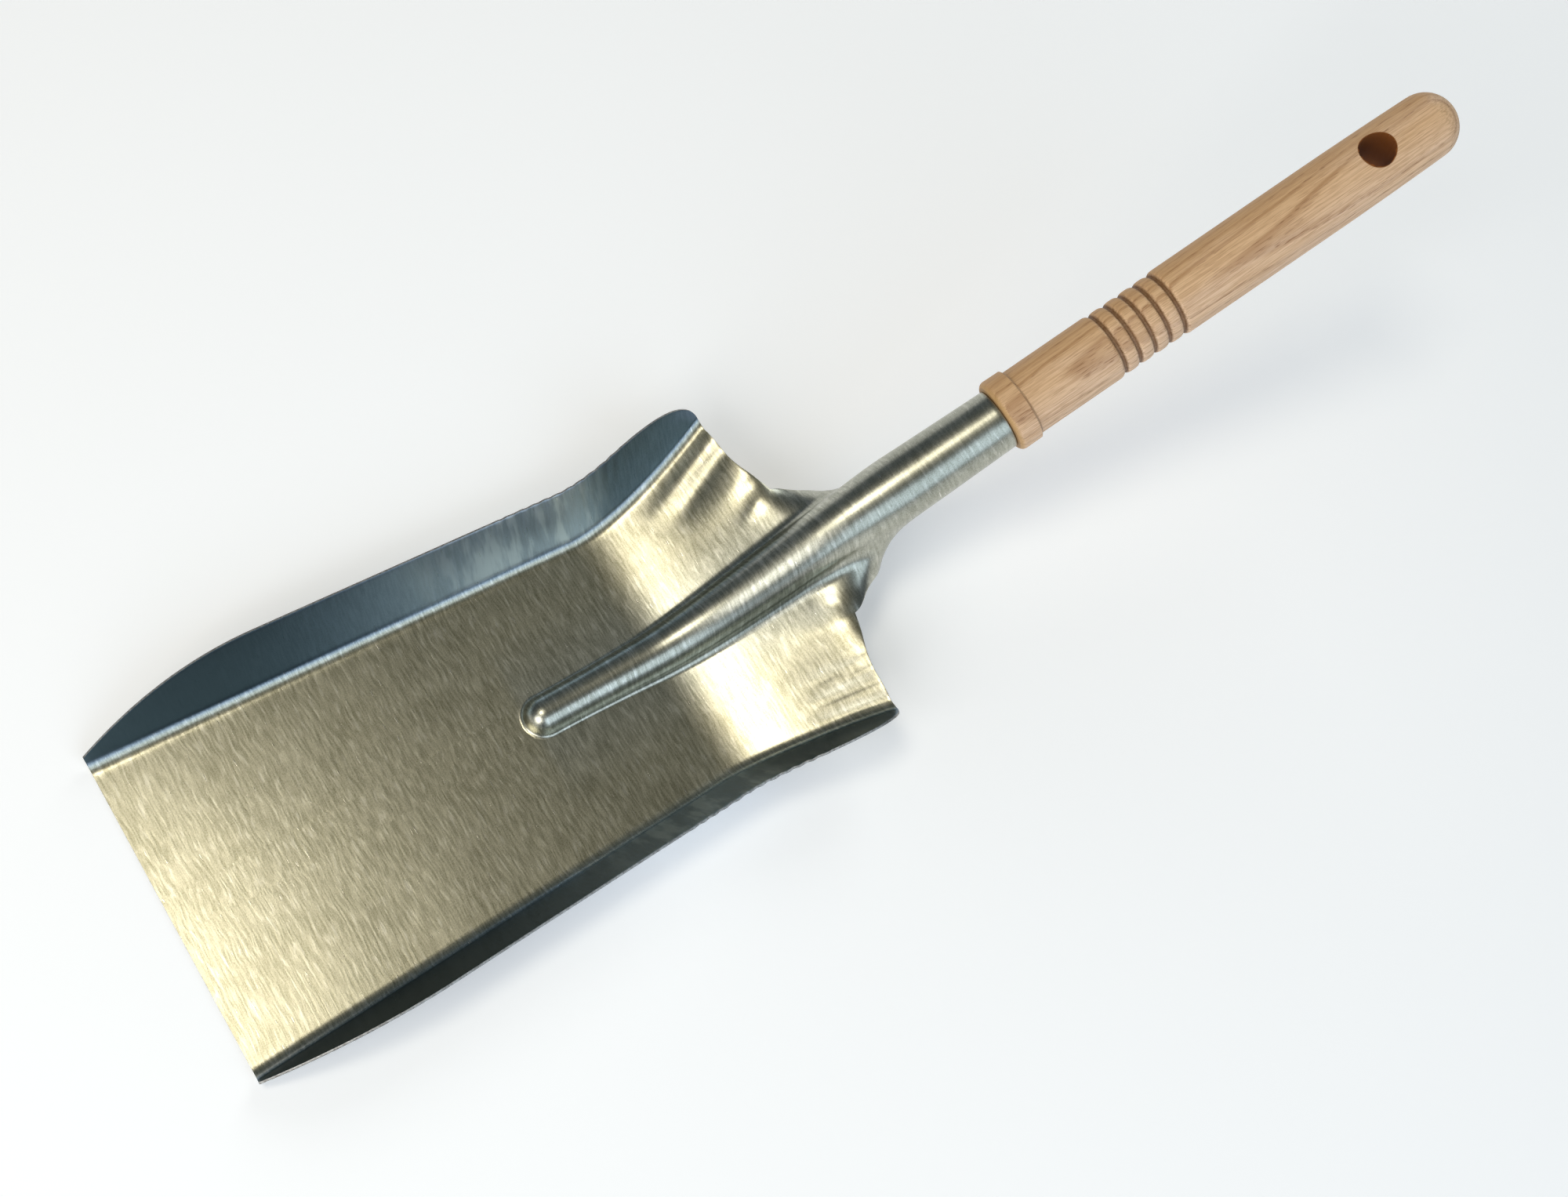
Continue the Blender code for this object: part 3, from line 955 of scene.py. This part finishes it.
SHEARED_EDGE = BareSteelFinish("sheared_edge", (0.25, 0.24, 0.22), (0.46, 0.46, 0.44), 0.8 * MM,
                               (0.35, 0.65), 0.42, 20.0 * MICRON)
NAIL_WIRE = BareSteelFinish("nail_wire", (0.52, 0.51, 0.49), (0.27, 0.25, 0.23), 0.7 * MM,
                            (0.4, 0.7), 0.3, 10.0 * MICRON)


@dataclass(frozen=True)
class WoodFinish:
    """Clear-sealed, ring-porous hardwood, darker in the turned grooves and the hang hole, with painted
    light on its -Y side, painted shade on its +Y side and a painted shadow line at the collar's step.
    """

    handle: "Handle"
    placing: Matrix
    early_tone: Colour = (0.46, 0.255, 0.118)
    late_tone: Colour = (0.73, 0.475, 0.265)
    # The pale tone serves the wood's pale clouds and the painted light on the -Y side; the golden tone
    # is painted shade on the +Y side.
    pale_and_painted_light_tone: Colour = (0.82, 0.60, 0.44)
    painted_shade_tone: Colour = (0.50, 0.285, 0.115)
    pore_tone: Colour = (0.31, 0.155, 0.07)
    # Darker tone of the grooves and the collar's front, and of the painted shadow line at the collar's
    # step.
    dark_groove_and_shadow_tone: Colour = (0.15, 0.065, 0.022)
    rim_tone: Colour = (0.48, 0.28, 0.10)
    bore_tone: Colour = (0.22, 0.065, 0.008)
    ring_pitch: float = 2.5 * MM
    pith: Span = millimetres(24.0, -58.0)
    pith_lean: float = 0.035
    bend: float = 3.0 * MM
    bend_size: tuple[float, ...] = millimetres(90.0, 16.0, 16.0)
    fibre_size: tuple[float, ...] = millimetres(16.0, 0.45, 0.45)
    pore_size: tuple[float, ...] = millimetres(5.5, 0.34, 0.34)
    cloud_size: tuple[float, ...] = millimetres(45.0, 9.0, 9.0)
    tick_size: tuple[float, ...] = millimetres(1.2, 0.5, 0.5)
    # Painted light on the -Y side and painted shade on the +Y side, across the handle.
    painted_light_side: Span = millimetres(1.0, -10.0)
    painted_shade_side: Span = millimetres(-1.0, 11.0)
    rim_span: Span = millimetres(1.9, 0.5)
    fibre_depth: float = 14.0 * MICRON
    pore_depth: float = 22.0 * MICRON

    def make(self) -> bpy.types.Material:
        """Builds the material."""
        material = bpy.data.materials.new("turned_hardwood")
        shader = Shader(material)
        solid = shader.add("ShaderNodeTexCoord", None, None, 3)
        local = shader.add("ShaderNodeMapping", {"vector_type": "TEXTURE"}, {
            0: solid,
            1: self.placing.to_translation(),
            2: self.placing.to_euler(),
        })
        place = shader.split(local)
        along, side, up = place
        bend = shader.stretched(place, self.bend_size)
        off_y = side - self.pith[0]
        off_z = up - self.pith[1] + along * self.pith_lean
        radius = (off_y * off_y + off_z * off_z) ** 0.5 + bend * self.bend
        ring = (radius / self.ring_pitch).part()
        early = ring.ramp(0.34, 0.0) + ring.ramp(0.88, 1.0)
        fibre = shader.stretched(place, self.fibre_size, 3.0, 0.6)
        pores = shader.stretched(place, self.pore_size, 1.0, 0.6).ramp(0.56, 0.68)
        cloud = shader.stretched(place, self.cloud_size)
        dark_grooves_and_shadow, bore = self._dark_marks_and_painted_shadow(shader, along, side, up)
        wood = shader.layered(self.late_tone, (
            (early * 0.95, self.early_tone),
            (cloud.ramp(0.42, 0.68) * 0.4, self.pale_and_painted_light_tone),
            # Painted light and shade: the handle's -Y side is painted paler, its +Y side darker golden
            # brown.
            (side.ramp(*self.painted_light_side) * 0.30, self.pale_and_painted_light_tone),
            (side.ramp(*self.painted_shade_side) * 0.8, self.painted_shade_tone),
            (fibre.ramp(0.58, 0.40) * 0.50, self.early_tone),
            (pores * (0.30 + early * 0.60), self.pore_tone),
            (along.ramp(*self.rim_span) * 0.75, self.rim_tone),
            (dark_grooves_and_shadow, self.dark_groove_and_shadow_tone),
            (bore, self.bore_tone),
        ))
        shader.close({
            "Base Color": wood,
            "Roughness": 0.50 + fibre * 0.10 + pores * 0.15 + bore * 0.3,
            "Coat Weight": 0.12 - bore * 0.12,
            "Coat Roughness": 0.35,
            "Specular IOR Level": 0.30,
            "Normal": shader.relief(fibre * self.fibre_depth - pores * self.pore_depth * (0.3 + early)),
        })
        return material

    def _dark_marks_and_painted_shadow(self, shader: Shader, along: Sum, side: Sum, up: Sum) -> tuple[Sum, Sum]:
        """Masks of the darker places, one of them a painted shadow line at the collar's step.

        Args:
            shader: The material's nodes.
            along: Distance along the handle from its shoulder.
            side: Distance across the handle.
            up: Distance above the handle's axis.

        Returns:
            The mask of the darker grooves, the collar's front and the painted shadow line at the
            collar's step, and that of the hang hole.
        """
        handle = self.handle
        turns = (along - handle.groove_start) / handle.groove_pitch
        nearest = turns.nearest().at_least(0.0).at_most(handle.groove_count - 1.0)
        ticks = shader.stretched((along, side, up), self.tick_size)
        away = (turns - nearest).size() * handle.groove_pitch - (ticks - 0.5) * (0.7 * MM)
        grooves = away.ramp(1.25 * MM, 0.45 * MM) * (0.62 + ticks * 0.4)
        front = along.ramp(0.35 * MM, 0.05 * MM) * 0.35
        # Painted shadow: a dark line where the collar steps down to the shank.
        step_away = (along - handle.collar_length).size()
        step = step_away.ramp(0.7 * MM, 0.1 * MM) * 0.3
        hole_x = along - handle.hang_hole_x
        hole = (hole_x * hole_x + side * side) ** 0.5
        bore = hole.ramp(handle.hang_hole_radius + 0.45 * MM, handle.hang_hole_radius + 0.1 * MM)
        return grooves.at_least(front).at_least(step).at_most(0.95), bore


# ---------------------------------------------------------------- the pieces


@dataclass
class Blade:
    """The pressed blade, as a fine sheet with the marks that the press left."""

    shape: SheetShape
    band_steps: tuple[int, ...] = (20, 10, 14, 14, 8, 18)
    mouth_rows: int = 26
    floor_rows: int = 22
    nose_rows: int = 22
    rib_rows: int = 42
    heel_rows: int = 76
    roll_rows: int = 26
    tube_rows: int = 26
    pucker_from: float = 150.0 * MM
    pucker_to: float = 192.0 * MM
    pucker_fade: float = 10.0 * MM
    pucker_pitch: float = 4.6 * MM
    pucker_height: float = 0.30 * MM
    pucker_wander: float = 11.0 * MM
    pucker_change: float = 6.0 * MM
    pucker_fall: float = 2.6
    scallop_depth: float = 0.26 * MM
    scallop_shift: float = 0.3
    wave_length: float = 34.0 * MM
    wave_height: float = 0.10 * MM
    wave_start: float = 30.0 * MM
    tube_span: Span = millimetres(236.0, 400.0)
    tube_fade: float = 4.0 * MM
    wrinkle_span: Span = millimetres(138.0, 178.0)
    wrinkle_fade: float = 14.0 * MM
    wrinkle_pitch: float = 2.6 * MM
    wrinkle_height: float = 0.12 * MM
    mouth_trim: float = 0.04 * MM
    rim_round: float = 0.16 * MM
    rim_angle: float = math.radians(60.0)
    # Painted cool cast on the rib and socket: partly the zinc's own bluish grey, partly painted
    # reflection of cool side light.
    rib_painted_cool_cast: float = 0.20
    painted_cool_cast_ramp: float = 6.0 * MM

    def columns(self) -> list[tuple[Band, float]]:
        """Band and share of each column, from the crown to the top edge."""
        places = [(Band.CROWN, 0.0)]
        for band, steps in zip(Band, self.band_steps):
            places += [(band, share) for share in spaced(0.0, 1.0, steps)]
        return places

    def pan_rows(self) -> list[float]:
        """Stations of the pan's rows, from the mouth to the back of the web."""
        shape = self.shape
        quarter = math.pi / 2
        rows = [self.mouth_trim]
        rows += [shape.mouth_ramp * (1.0 - math.cos(turn))
                 for turn in spaced(0.0, quarter, self.mouth_rows)]
        rows += spaced(shape.mouth_ramp, shape.rib_nose, self.floor_rows)
        rows += [shape.nose_end - shape.rib_half_width * math.cos(turn)
                 for turn in spaced(0.0, quarter, self.nose_rows)]
        rows += spaced(shape.nose_end, shape.flat_length, self.rib_rows)
        return rows + spaced(shape.flat_length, shape.tongue_x, self.heel_rows)

    def socket_rows(self) -> list[float]:
        """Places of the socket's rows along its crown."""
        shape = self.shape
        end = shape.shoulder - shape.axis * shape.shoulder_gap
        end += shape.axis_up * shape.socket_radius(shape.socket_length)
        roll_end = shape.tongue_x + shape.roll_length
        return (spaced(shape.tongue_x, roll_end, self.roll_rows)
                + spaced(roll_end, end.x, self.tube_rows))

    def pucker(self, x: float, rise: float, side: float) -> float:
        """How far the wall is puckered at its rear top edge.

        Args:
            x: Distance from the mouth.
            rise: Share of the way up the wall.
            side: 1 or -1 for the left or the right wall.

        Returns:
            A wave of about -1 to 1 that fades down the wall.
        """
        here = window(x, self.pucker_from, self.pucker_to, self.pucker_fade)
        if not here or not rise:
            return 0.0
        wander = 2.2 * ripple(x / self.pucker_wander, 3.0 * side)
        slant = 2.1 * (1.0 - rise)
        phase = 2.0 * math.pi * x / self.pucker_pitch + wander + slant
        strength = 0.55 + 0.45 * ripple(x / self.pucker_change, 9.0 * side, 4.0)
        return here * strength * math.sin(phase) * rise ** self.pucker_fall

    def painted_cool_cast(self, x: float, band: Band, share: float) -> float:
        """How much painted cool cast the sheet gets, fully on the walls and a little on the rib and
        socket:
        partly the zinc's own bluish grey, partly painted reflection of cool side light.

        Args:
            x: Distance from the mouth.
            band: The band that the point is in.
            share: How far across that band it is.

        Returns:
            A share from 0 on the floor to 1 on the wall.
        """
        if band >= Band.FOLD:
            return smooth_step(2.0 * share - 0.8) if band == Band.FOLD else 1.0
        if x > self.shape.tongue_x:
            return self.rib_painted_cool_cast
        if band == Band.FLOOR:
            return 0.0
        grown = smooth_step((x - self.shape.rib_nose) / self.painted_cool_cast_ramp)
        return self.rib_painted_cool_cast * grown * (1.0 - share if band == Band.WEB else 1.0)

    def relief(self, place: Vector, y: float, side: float) -> float:
        """How far the press's marks move the sheet out along its normal.

        Args:
            place: The point's place on the flat sheet as (x, distance across, share of wall).
            y: Its distance from the middle, with its side.
            side: 1 or -1 for the left or the right half.

        Returns:
            The distance.
        """
        x, across, rise = place
        at = (x / self.wave_length, side * across / self.wave_length, 2.0)
        wave = self.wave_height * (0.7 + ripple(*at))
        on_tube = window(x, *self.tube_span, self.tube_fade)
        lift = wave * smooth_step(x / self.wave_start) * (1.0 - on_tube)
        lift += self.pucker_height * self.pucker(x, rise, side)
        if rise:
            here = window(x, *self.wrinkle_span, self.wrinkle_fade)
            here *= math.sin(math.pi * min(rise * 1.1, 1.0))
            wrinkle = ripple(x / self.wrinkle_pitch + rise * 2.0, rise * 1.3, 5.0 * side)
            return lift + self.wrinkle_height * here * wrinkle
        if x > self.shape.flat_length:
            lift += sum(mark.lift(x, y) for mark in PRESS_MARKS)
        return lift

    def build(self) -> bmesh.types.BMesh:
        """Makes the middle of the sheet as one grid, bent into the blade."""
        shape = self.shape
        columns = self.columns()
        pan = self.pan_rows()
        socket = self.socket_rows()
        reach = len(columns) - 1
        tongue_reach = sum(self.band_steps[:Band.WEB + 1])
        rows = len(pan) + len(socket) - 1
        builder = bmesh.new()
        layer = builder.verts.layers.float_vector.new("on_sheet")
        bmesh.ops.create_grid(builder, x_segments=rows, y_segments=2 * reach, size=1.0)
        unused = []
        rises = {}
        for vert in builder.verts:
            row = round((vert.co.x + 1.0) / 2 * rows)
            column = round(vert.co.y * reach)
            side = -1.0 if column < 0 else 1.0
            band, share = columns[abs(column)]
            if row < len(pan):
                point, place = shape.pan_point(pan[row], band, share)
            elif abs(column) <= tongue_reach:
                point, place = shape.tongue_point(socket[row - len(pan)], band, share)
            else:
                unused.append(vert)
                continue
            vert.co = (point.x, side * point.y, point.z)
            # The third number stored is the painted cool cast.
            vert[layer] = (place.x, side * place.y, self.painted_cool_cast(place.x, band, share))
            rises[vert] = place.z
        bmesh.ops.delete(builder, geom=unused, context="VERTS")
        builder.normal_update()
        moved = []
        for vert, rise in rises.items():
            x, across, _ = vert[layer]
            side = -1.0 if across < 0.0 else 1.0
            lift = self.relief(Vector((x, abs(across), rise)), vert.co.y, side)
            scallop = abs(self.pucker(x, rise, side + self.scallop_shift))
            drop = self.scallop_depth * scallop * rise ** 3
            moved.append((vert, vert.normal * lift - Vector((0.0, 0.0, drop))))
        for vert, step in moved:
            vert.co += step
        bmesh.ops.translate(builder, verts=builder.verts[:], vec=shape.origin)
        return builder

    def dress(self) -> None:
        """Gives the sheet its thickness, rounded rim and finishes."""
        finishes = (ZincFinish().make(), SHEARED_EDGE.make())
        piece = finish_mesh("pressed_blade", self.build(), finishes)
        sheet = piece.modifiers.new("sheet", "SOLIDIFY")
        sheet.thickness = self.shape.thickness
        sheet.offset = 0.0
        sheet.material_offset_rim = 1
        rim = piece.modifiers.new("rim", "BEVEL")
        rim.width = self.rim_round
        rim.segments = 2
        rim.limit_method = "ANGLE"
        rim.angle_limit = self.rim_angle
        settle(piece, "blade")


@dataclass
class Handle:
    """The turned handle: tenon, collar, grooves and beads, grip and ragged hang hole."""

    shape: SheetShape
    length: float = 187.4 * MM
    tenon_length: float = 36.0 * MM
    tenon_chamfer: float = 2.0 * MM
    tenon_clearance: float = 0.3 * MM
    collar_radius: float = 13.65 * MM
    collar_length: float = 8.9 * MM
    collar_rounding: float = 2.2 * MM
    shank_radius: float = 12.4 * MM
    bead_radius: float = 12.15 * MM
    grip_radius: float = 12.55 * MM
    grip_end_radius: float = 11.95 * MM
    groove_start: float = 44.5 * MM
    groove_pitch: float = 6.1 * MM
    groove_floor: float = 0.45 * MM
    groove_depth: float = 1.0 * MM
    groove_count: int = 5
    bead_rounding: float = 1.9 * MM
    grip_start: float = 6.0 * MM
    end_rounding: float = 10.5 * MM
    crease: float = math.radians(38.0)
    hang_hole_radius: float = 6.2 * MM
    hang_hole_from_end: float = 33.3 * MM
    steps: int = 112
    chip: float = 0.75 * MM
    cutter_reach: float = 1.15
    chip_rings: tuple[float, ...] = (0.6, 0.8, 0.87, 0.93, 0.98)
    chip_from: float = 0.68
    chip_fade: float = 0.2
    coarse_nicks: float = 4.6
    fine_nicks: float = 11.0
    nick_change: float = 9.0 * MM

    @property
    def hang_hole_x(self) -> float:
        """Distance of the hang hole from the shoulder."""
        return self.length - self.hang_hole_from_end

    @property
    def last_groove(self) -> float:
        """Distance of the last groove from the shoulder."""
        return self.groove_start + (self.groove_count - 1) * self.groove_pitch

    def rounding(self, start: float, toward: float, top: float) -> list[tuple[float, float]]:
        """A quarter of an oval from a groove's floor up to a bead's top.

        Args:
            start: Where the groove's floor ends.
            toward: 1 if the bead lies ahead and -1 if it lies behind.
            top: Radius of the bead.

        Returns:
            (along, radius) points, going away from the groove.
        """
        points = []
        bottom = self.bead_radius - self.groove_depth
        for turn in spaced(0.0, math.pi / 2, 6):
            along = start + toward * self.bead_rounding * (1.0 - math.cos(turn))
            points.append((along, bottom + (top - bottom) * math.sin(turn)))
        return points

    def grooves(self) -> list[tuple[float, float]]:
        """The five grooves with barrel-shaped beads between them."""
        points = []
        bottom = self.bead_radius - self.groove_depth
        for groove in range(self.groove_count):
            middle = self.groove_start + groove * self.groove_pitch
            before = self.shank_radius if groove == 0 else self.bead_radius
            after = self.grip_radius if groove == self.groove_count - 1 else self.bead_radius
            points += reversed(self.rounding(middle - self.groove_floor, -1.0, before))
            points.append((middle - self.groove_floor, bottom))
            points.append((middle + self.groove_floor, bottom))
            points += self.rounding(middle + self.groove_floor, 1.0, after)
        return points

    def profile(self) -> list[tuple[float, float]]:
        """The handle's outline as (along, radius), from the tenon's end to the grip's end."""
        shape = self.shape
        tenon = shape.socket_radius(shape.socket_length) - shape.thickness / 2
        tenon -= self.tenon_clearance
        points = [(-self.tenon_length, 0.0), (-self.tenon_length, tenon - self.tenon_chamfer)]
        points += [(self.tenon_chamfer - self.tenon_length, tenon), (0.0, tenon)]
        points.append((0.0, self.collar_radius - self.collar_rounding))
        for turn in spaced(0.0, math.pi / 2, 8):
            radius = self.collar_radius - self.collar_rounding * (1.0 - math.sin(turn))
            points.append((self.collar_rounding * (1.0 - math.cos(turn)), radius))
        drop = self.collar_radius - self.shank_radius
        for turn in spaced(-math.pi / 2, math.pi / 2, 6):
            share = (1.0 + math.sin(turn)) / 2
            along = self.collar_length + drop * (share - 0.5) * 0.8
            points.append((along, self.collar_radius - drop * share))
        points += self.grooves()
        swell = (self.last_groove + self.length) / 2
        dome = self.length - self.end_rounding
        start = self.last_groove + self.grip_start
        points += [(along, self.grip_radius) for along in spaced(start, swell, 8)]
        for part in spaced(0.0, 1.0, 10):
            radius = self.grip_radius + (self.grip_end_radius - self.grip_radius) * part * part
            points.append((swell + (dome - swell) * part, radius))
        for turn in spaced(0.0, math.pi / 2, 14)[:-1]:
            along = dome + self.end_rounding * math.sin(turn)
            points.append((along, self.grip_end_radius * math.cos(turn)))
        points.append((self.length, 0.0))
        return points

    def hole_cutter(self) -> bpy.types.Object:
        """A guide for the hang hole whose ends are chipped along the grain."""
        builder = bmesh.new()
        reach = self.cutter_reach * self.grip_radius
        bmesh.ops.create_cone(builder, cap_ends=True, segments=120, radius1=self.hang_hole_radius,
                              radius2=self.hang_hole_radius, depth=2.0 * reach)
        for share in sorted((*self.chip_rings, *(-ring for ring in self.chip_rings))):
            geometry = builder.verts[:] + builder.edges[:] + builder.faces[:]
            bmesh.ops.bisect_plane(builder, geom=geometry, dist=0.1 * MICRON,
                                   plane_co=(0.0, 0.0, reach * share), plane_no=(0.0, 0.0, 1.0))
        for vert in builder.verts:
            ring = Vector((vert.co.x, vert.co.y, 0.0))
            if ring.length < 0.5 * self.hang_hole_radius:
                continue
            outward = ring.normalized()
            coarse = outward * self.coarse_nicks
            fine = outward * self.fine_nicks
            nick = 0.75 * ripple(coarse.x, coarse.y, vert.co.z / self.nick_change)
            nick += 0.45 * ripple(fine.x, fine.y, 5.0)
            near_end = smooth_step((abs(vert.co.z) / reach - self.chip_from) / self.chip_fade)
            vert.co += outward * self.chip * nick * (0.15 + 0.85 * near_end)
        bmesh.ops.translate(builder, verts=builder.verts[:], vec=(self.hang_hole_x, 0.0, 0.0))
        bmesh.ops.transform(builder, verts=builder.verts[:], matrix=self.shape.handle_frame())
        return finish_mesh("hang_hole_guide", builder, ())

    def dress(self) -> None:
        """Turns the handle, cuts its hang hole and gives it its finish."""
        builder = turned(self.profile(), self.steps)
        bmesh.ops.transform(builder, verts=builder.verts[:], matrix=self.shape.handle_frame())
        finish = WoodFinish(self, self.shape.handle_frame()).make()
        piece = finish_mesh("turned_handle", builder, (finish,))
        carve(piece, self.hole_cutter())
        piece.data.shade_smooth()
        piece.data.set_sharp_from_angle(angle=self.crease)
        settle(piece, "handle")


@dataclass
class SocketNails:
    """The two wire nails under the socket, one on each side of the seam."""

    shape: SheetShape
    radius: float = 0.9 * MM
    length: float = 8.5 * MM
    point: float = 2.5 * MM
    head_radius: float = 2.2 * MM
    head_thickness: float = 0.9 * MM
    from_shoulder: float = 14.0 * MM
    seat_gap: float = 0.3 * MM
    angle: float = math.radians(35.0)
    steps: int = 28
    grip_rings: int = 7
    ring_width: float = 0.1 * MM
    neck_length: float = 0.25 * MM

    def outline(self) -> list[tuple[float, float]]:
        """One nail's outline as (distance from the socket's axis, radius)."""
        shape = self.shape
        seat = shape.socket_outer_radius + shape.socket_taper * self.from_shoulder + self.seat_gap
        tip = seat - self.length
        points = [(tip, 0.0), (tip + self.point, self.radius)]
        for ring in range(self.grip_rings):
            share = (ring + 0.5) / self.grip_rings
            along = tip + self.point + (seat - tip - self.point) * share
            points += [(along, self.radius), (along + self.ring_width, 0.93 * self.radius)]
        points += [(seat - self.neck_length, self.radius), (seat, 1.35 * self.radius)]
        points.append((seat, self.head_radius - self.ring_width))
        for turn in spaced(0.0, math.pi / 2, 6):
            radius = 0.62 * self.head_radius + 0.38 * self.head_radius * math.cos(turn)
            points.append((seat + self.head_thickness * (0.3 + 0.7 * math.sin(turn)), radius))
        points.append((seat + self.head_thickness, 0.0))
        return points

    def dress(self) -> None:
        """Makes both nails and gives them their finish."""
        finish = NAIL_WIRE.make()
        for side in Side:
            outward = Vector((0.0, side.value * math.sin(self.angle), -math.cos(self.angle)))
            turn = Vector((1.0, 0.0, 0.0)).rotation_difference(outward).to_matrix().to_4x4()
            place = Matrix.Translation((-self.from_shoulder, 0.0, 0.0)) @ turn
            builder = turned(self.outline(), self.steps)
            matrix = self.shape.handle_frame() @ place
            bmesh.ops.transform(builder, verts=builder.verts[:], matrix=matrix)
            name = side.name.lower()
            piece = finish_mesh(f"wire_nail_{name}", builder, (finish,))
            settle(piece, f"socket_nail_{name}")


# ---------------------------------------------------------------- the studio


@dataclass(frozen=True)
class SoftBox:
    """A soft area light, aimed at the middle of the object."""

    name: str
    direction: tuple[float, float, float]
    sides: tuple[float, float]
    power: float
    colour: Colour
    turn: float = 0.0
    distance: float = 1.6

    def light(self, aim: Vector) -> None:
        """Makes the light.

        Args:
            aim: The point that it faces.
        """
        data = bpy.data.lights.new(self.name, "AREA")
        data.shape = "RECTANGLE"
        data.size, data.size_y = self.sides
        data.energy = self.power
        data.color = self.colour
        item = bpy.data.objects.new(self.name, data)
        away = Vector(self.direction).normalized()
        item.location = aim + away * self.distance
        across = Vector((math.cos(self.turn), math.sin(self.turn), 0.0))
        across = (across - away * across.dot(away)).normalized()
        item.rotation_euler = Matrix((across, away.cross(across), away)).transposed().to_euler()
        bpy.context.scene.collection.objects.link(item)


SOFT_BOXES = (
    SoftBox("ceiling_panel", (-0.33, 0.165, 0.93), (0.52, 0.42), 5.8, (1.0, 0.94, 0.80),
            math.radians(17.0)),
    SoftBox("window", (0.02, -0.78, 0.62), (1.4, 1.1), 8.0, (0.70, 0.84, 1.0)),
    SoftBox("bench_fill", (0.70, 0.46, 0.54), (0.9, 0.7), 5.5, (0.94, 0.99, 1.0)),
    SoftBox("door_fill", (-0.80, -0.22, 0.56), (0.9, 0.9), 11.0, (1.0, 0.99, 0.97)),
)


@dataclass(frozen=True)
class Studio:
    """Camera, pale floor, soft lights and a graded sky."""

    eye: tuple[float, float, float] = (-0.2298, -0.1320, 0.5020)
    aim: tuple[float, float, float] = (-0.01228, -0.00401, 0.0)
    roll: float = math.radians(27.93)
    lens: float = 36.0
    sensor: float = 36.0
    floor_size: float = 8.0
    floor_tone: Colour = (0.93, 0.93, 0.93)
    floor_shade: Colour = (0.88, 0.88, 0.88)
    table_glow: float = 0.20
    horizon: Colour = (0.80, 0.81, 0.82)
    low_sky: Colour = (0.07, 0.09, 0.11)
    high_sky: Colour = (0.09, 0.10, 0.10)
    zenith: Colour = (0.13, 0.13, 0.11)

    def camera(self) -> None:
        """Makes the camera and makes it the scene's."""
        data = bpy.data.cameras.new("camera")
        data.lens = self.lens
        data.sensor_width = self.sensor
        data.clip_start = 0.01
        data.dof.use_dof = False
        item = bpy.data.objects.new("camera", data)
        item.location = self.eye
        forward = Vector(self.aim) - Vector(self.eye)
        turn = forward.to_track_quat("-Z", "Y").to_matrix() @ Matrix.Rotation(self.roll, 3, "Z")
        item.rotation_euler = turn.to_euler()
        bpy.context.scene.collection.objects.link(item)
        bpy.context.scene.camera = item

    def floor(self) -> None:
        """Makes the plain pale floor, a softly lit table under the object."""
        builder = bmesh.new()
        bmesh.ops.create_circle(builder, cap_ends=True, segments=64, radius=self.floor_size / 2)
        bmesh.ops.translate(builder, verts=builder.verts[:], vec=(0.0, 0.0, CAD_LOW.z))
        material = bpy.data.materials.new("pale_floor")
        shader = Shader(material)
        solid = shader.add("ShaderNodeTexCoord", None, None, 3)
        soft = shader.cloud(solid, 3.0, 2.0)
        shader.close({
            "Base Color": shader.mix(soft * 0.04, self.floor_tone, self.floor_shade),
            "Roughness": 0.7,
            "Specular IOR Level": 0.1,
            "Emission Color": (1.0, 1.0, 1.0, 1.0),
            "Emission Strength": self.table_glow,
        })
        finish_mesh("studio_floor", builder, (material,))

    def sky(self) -> None:
        """Makes a soft sky: pale at the horizon, cool and dim above it, warmer overhead."""
        world = bpy.data.worlds.new("studio_sky")
        bpy.context.scene.world = world
        shader = Shader(world)
        direction = shader.add("ShaderNodeTexCoord", None, None, 0)
        up = shader.split(direction)[2]
        sky = shader.layered(self.horizon, (
            (up.ramp(0.10, 0.22), self.low_sky),
            (up.ramp(0.45, 0.85), self.high_sky),
            (up.ramp(0.85, 1.0), self.zenith),
        ))
        light = shader.add("ShaderNodeBackground", None, {"Color": sky, "Strength": 1.0})
        shader.add("ShaderNodeOutputWorld", None, {"Surface": light})

    def build(self) -> None:
        """Makes the whole studio."""
        self.camera()
        self.floor()
        self.sky()
        aim = (CAD_LOW + CAD_HIGH) / 2
        for box in SOFT_BOXES:
            box.light(Vector((aim.x, aim.y, 0.0)))
        bpy.context.scene.view_settings.view_transform = "Standard"


def main() -> None:
    """Builds the studio and every piece in order."""
    logging.basicConfig(level=logging.INFO, format="%(name)s: %(message)s")
    Studio().build()
    shape = SheetShape()
    Blade(shape).dress()
    Handle(shape).dress()
    SocketNails(shape).dress()


if __name__ == "__main__":
    main()
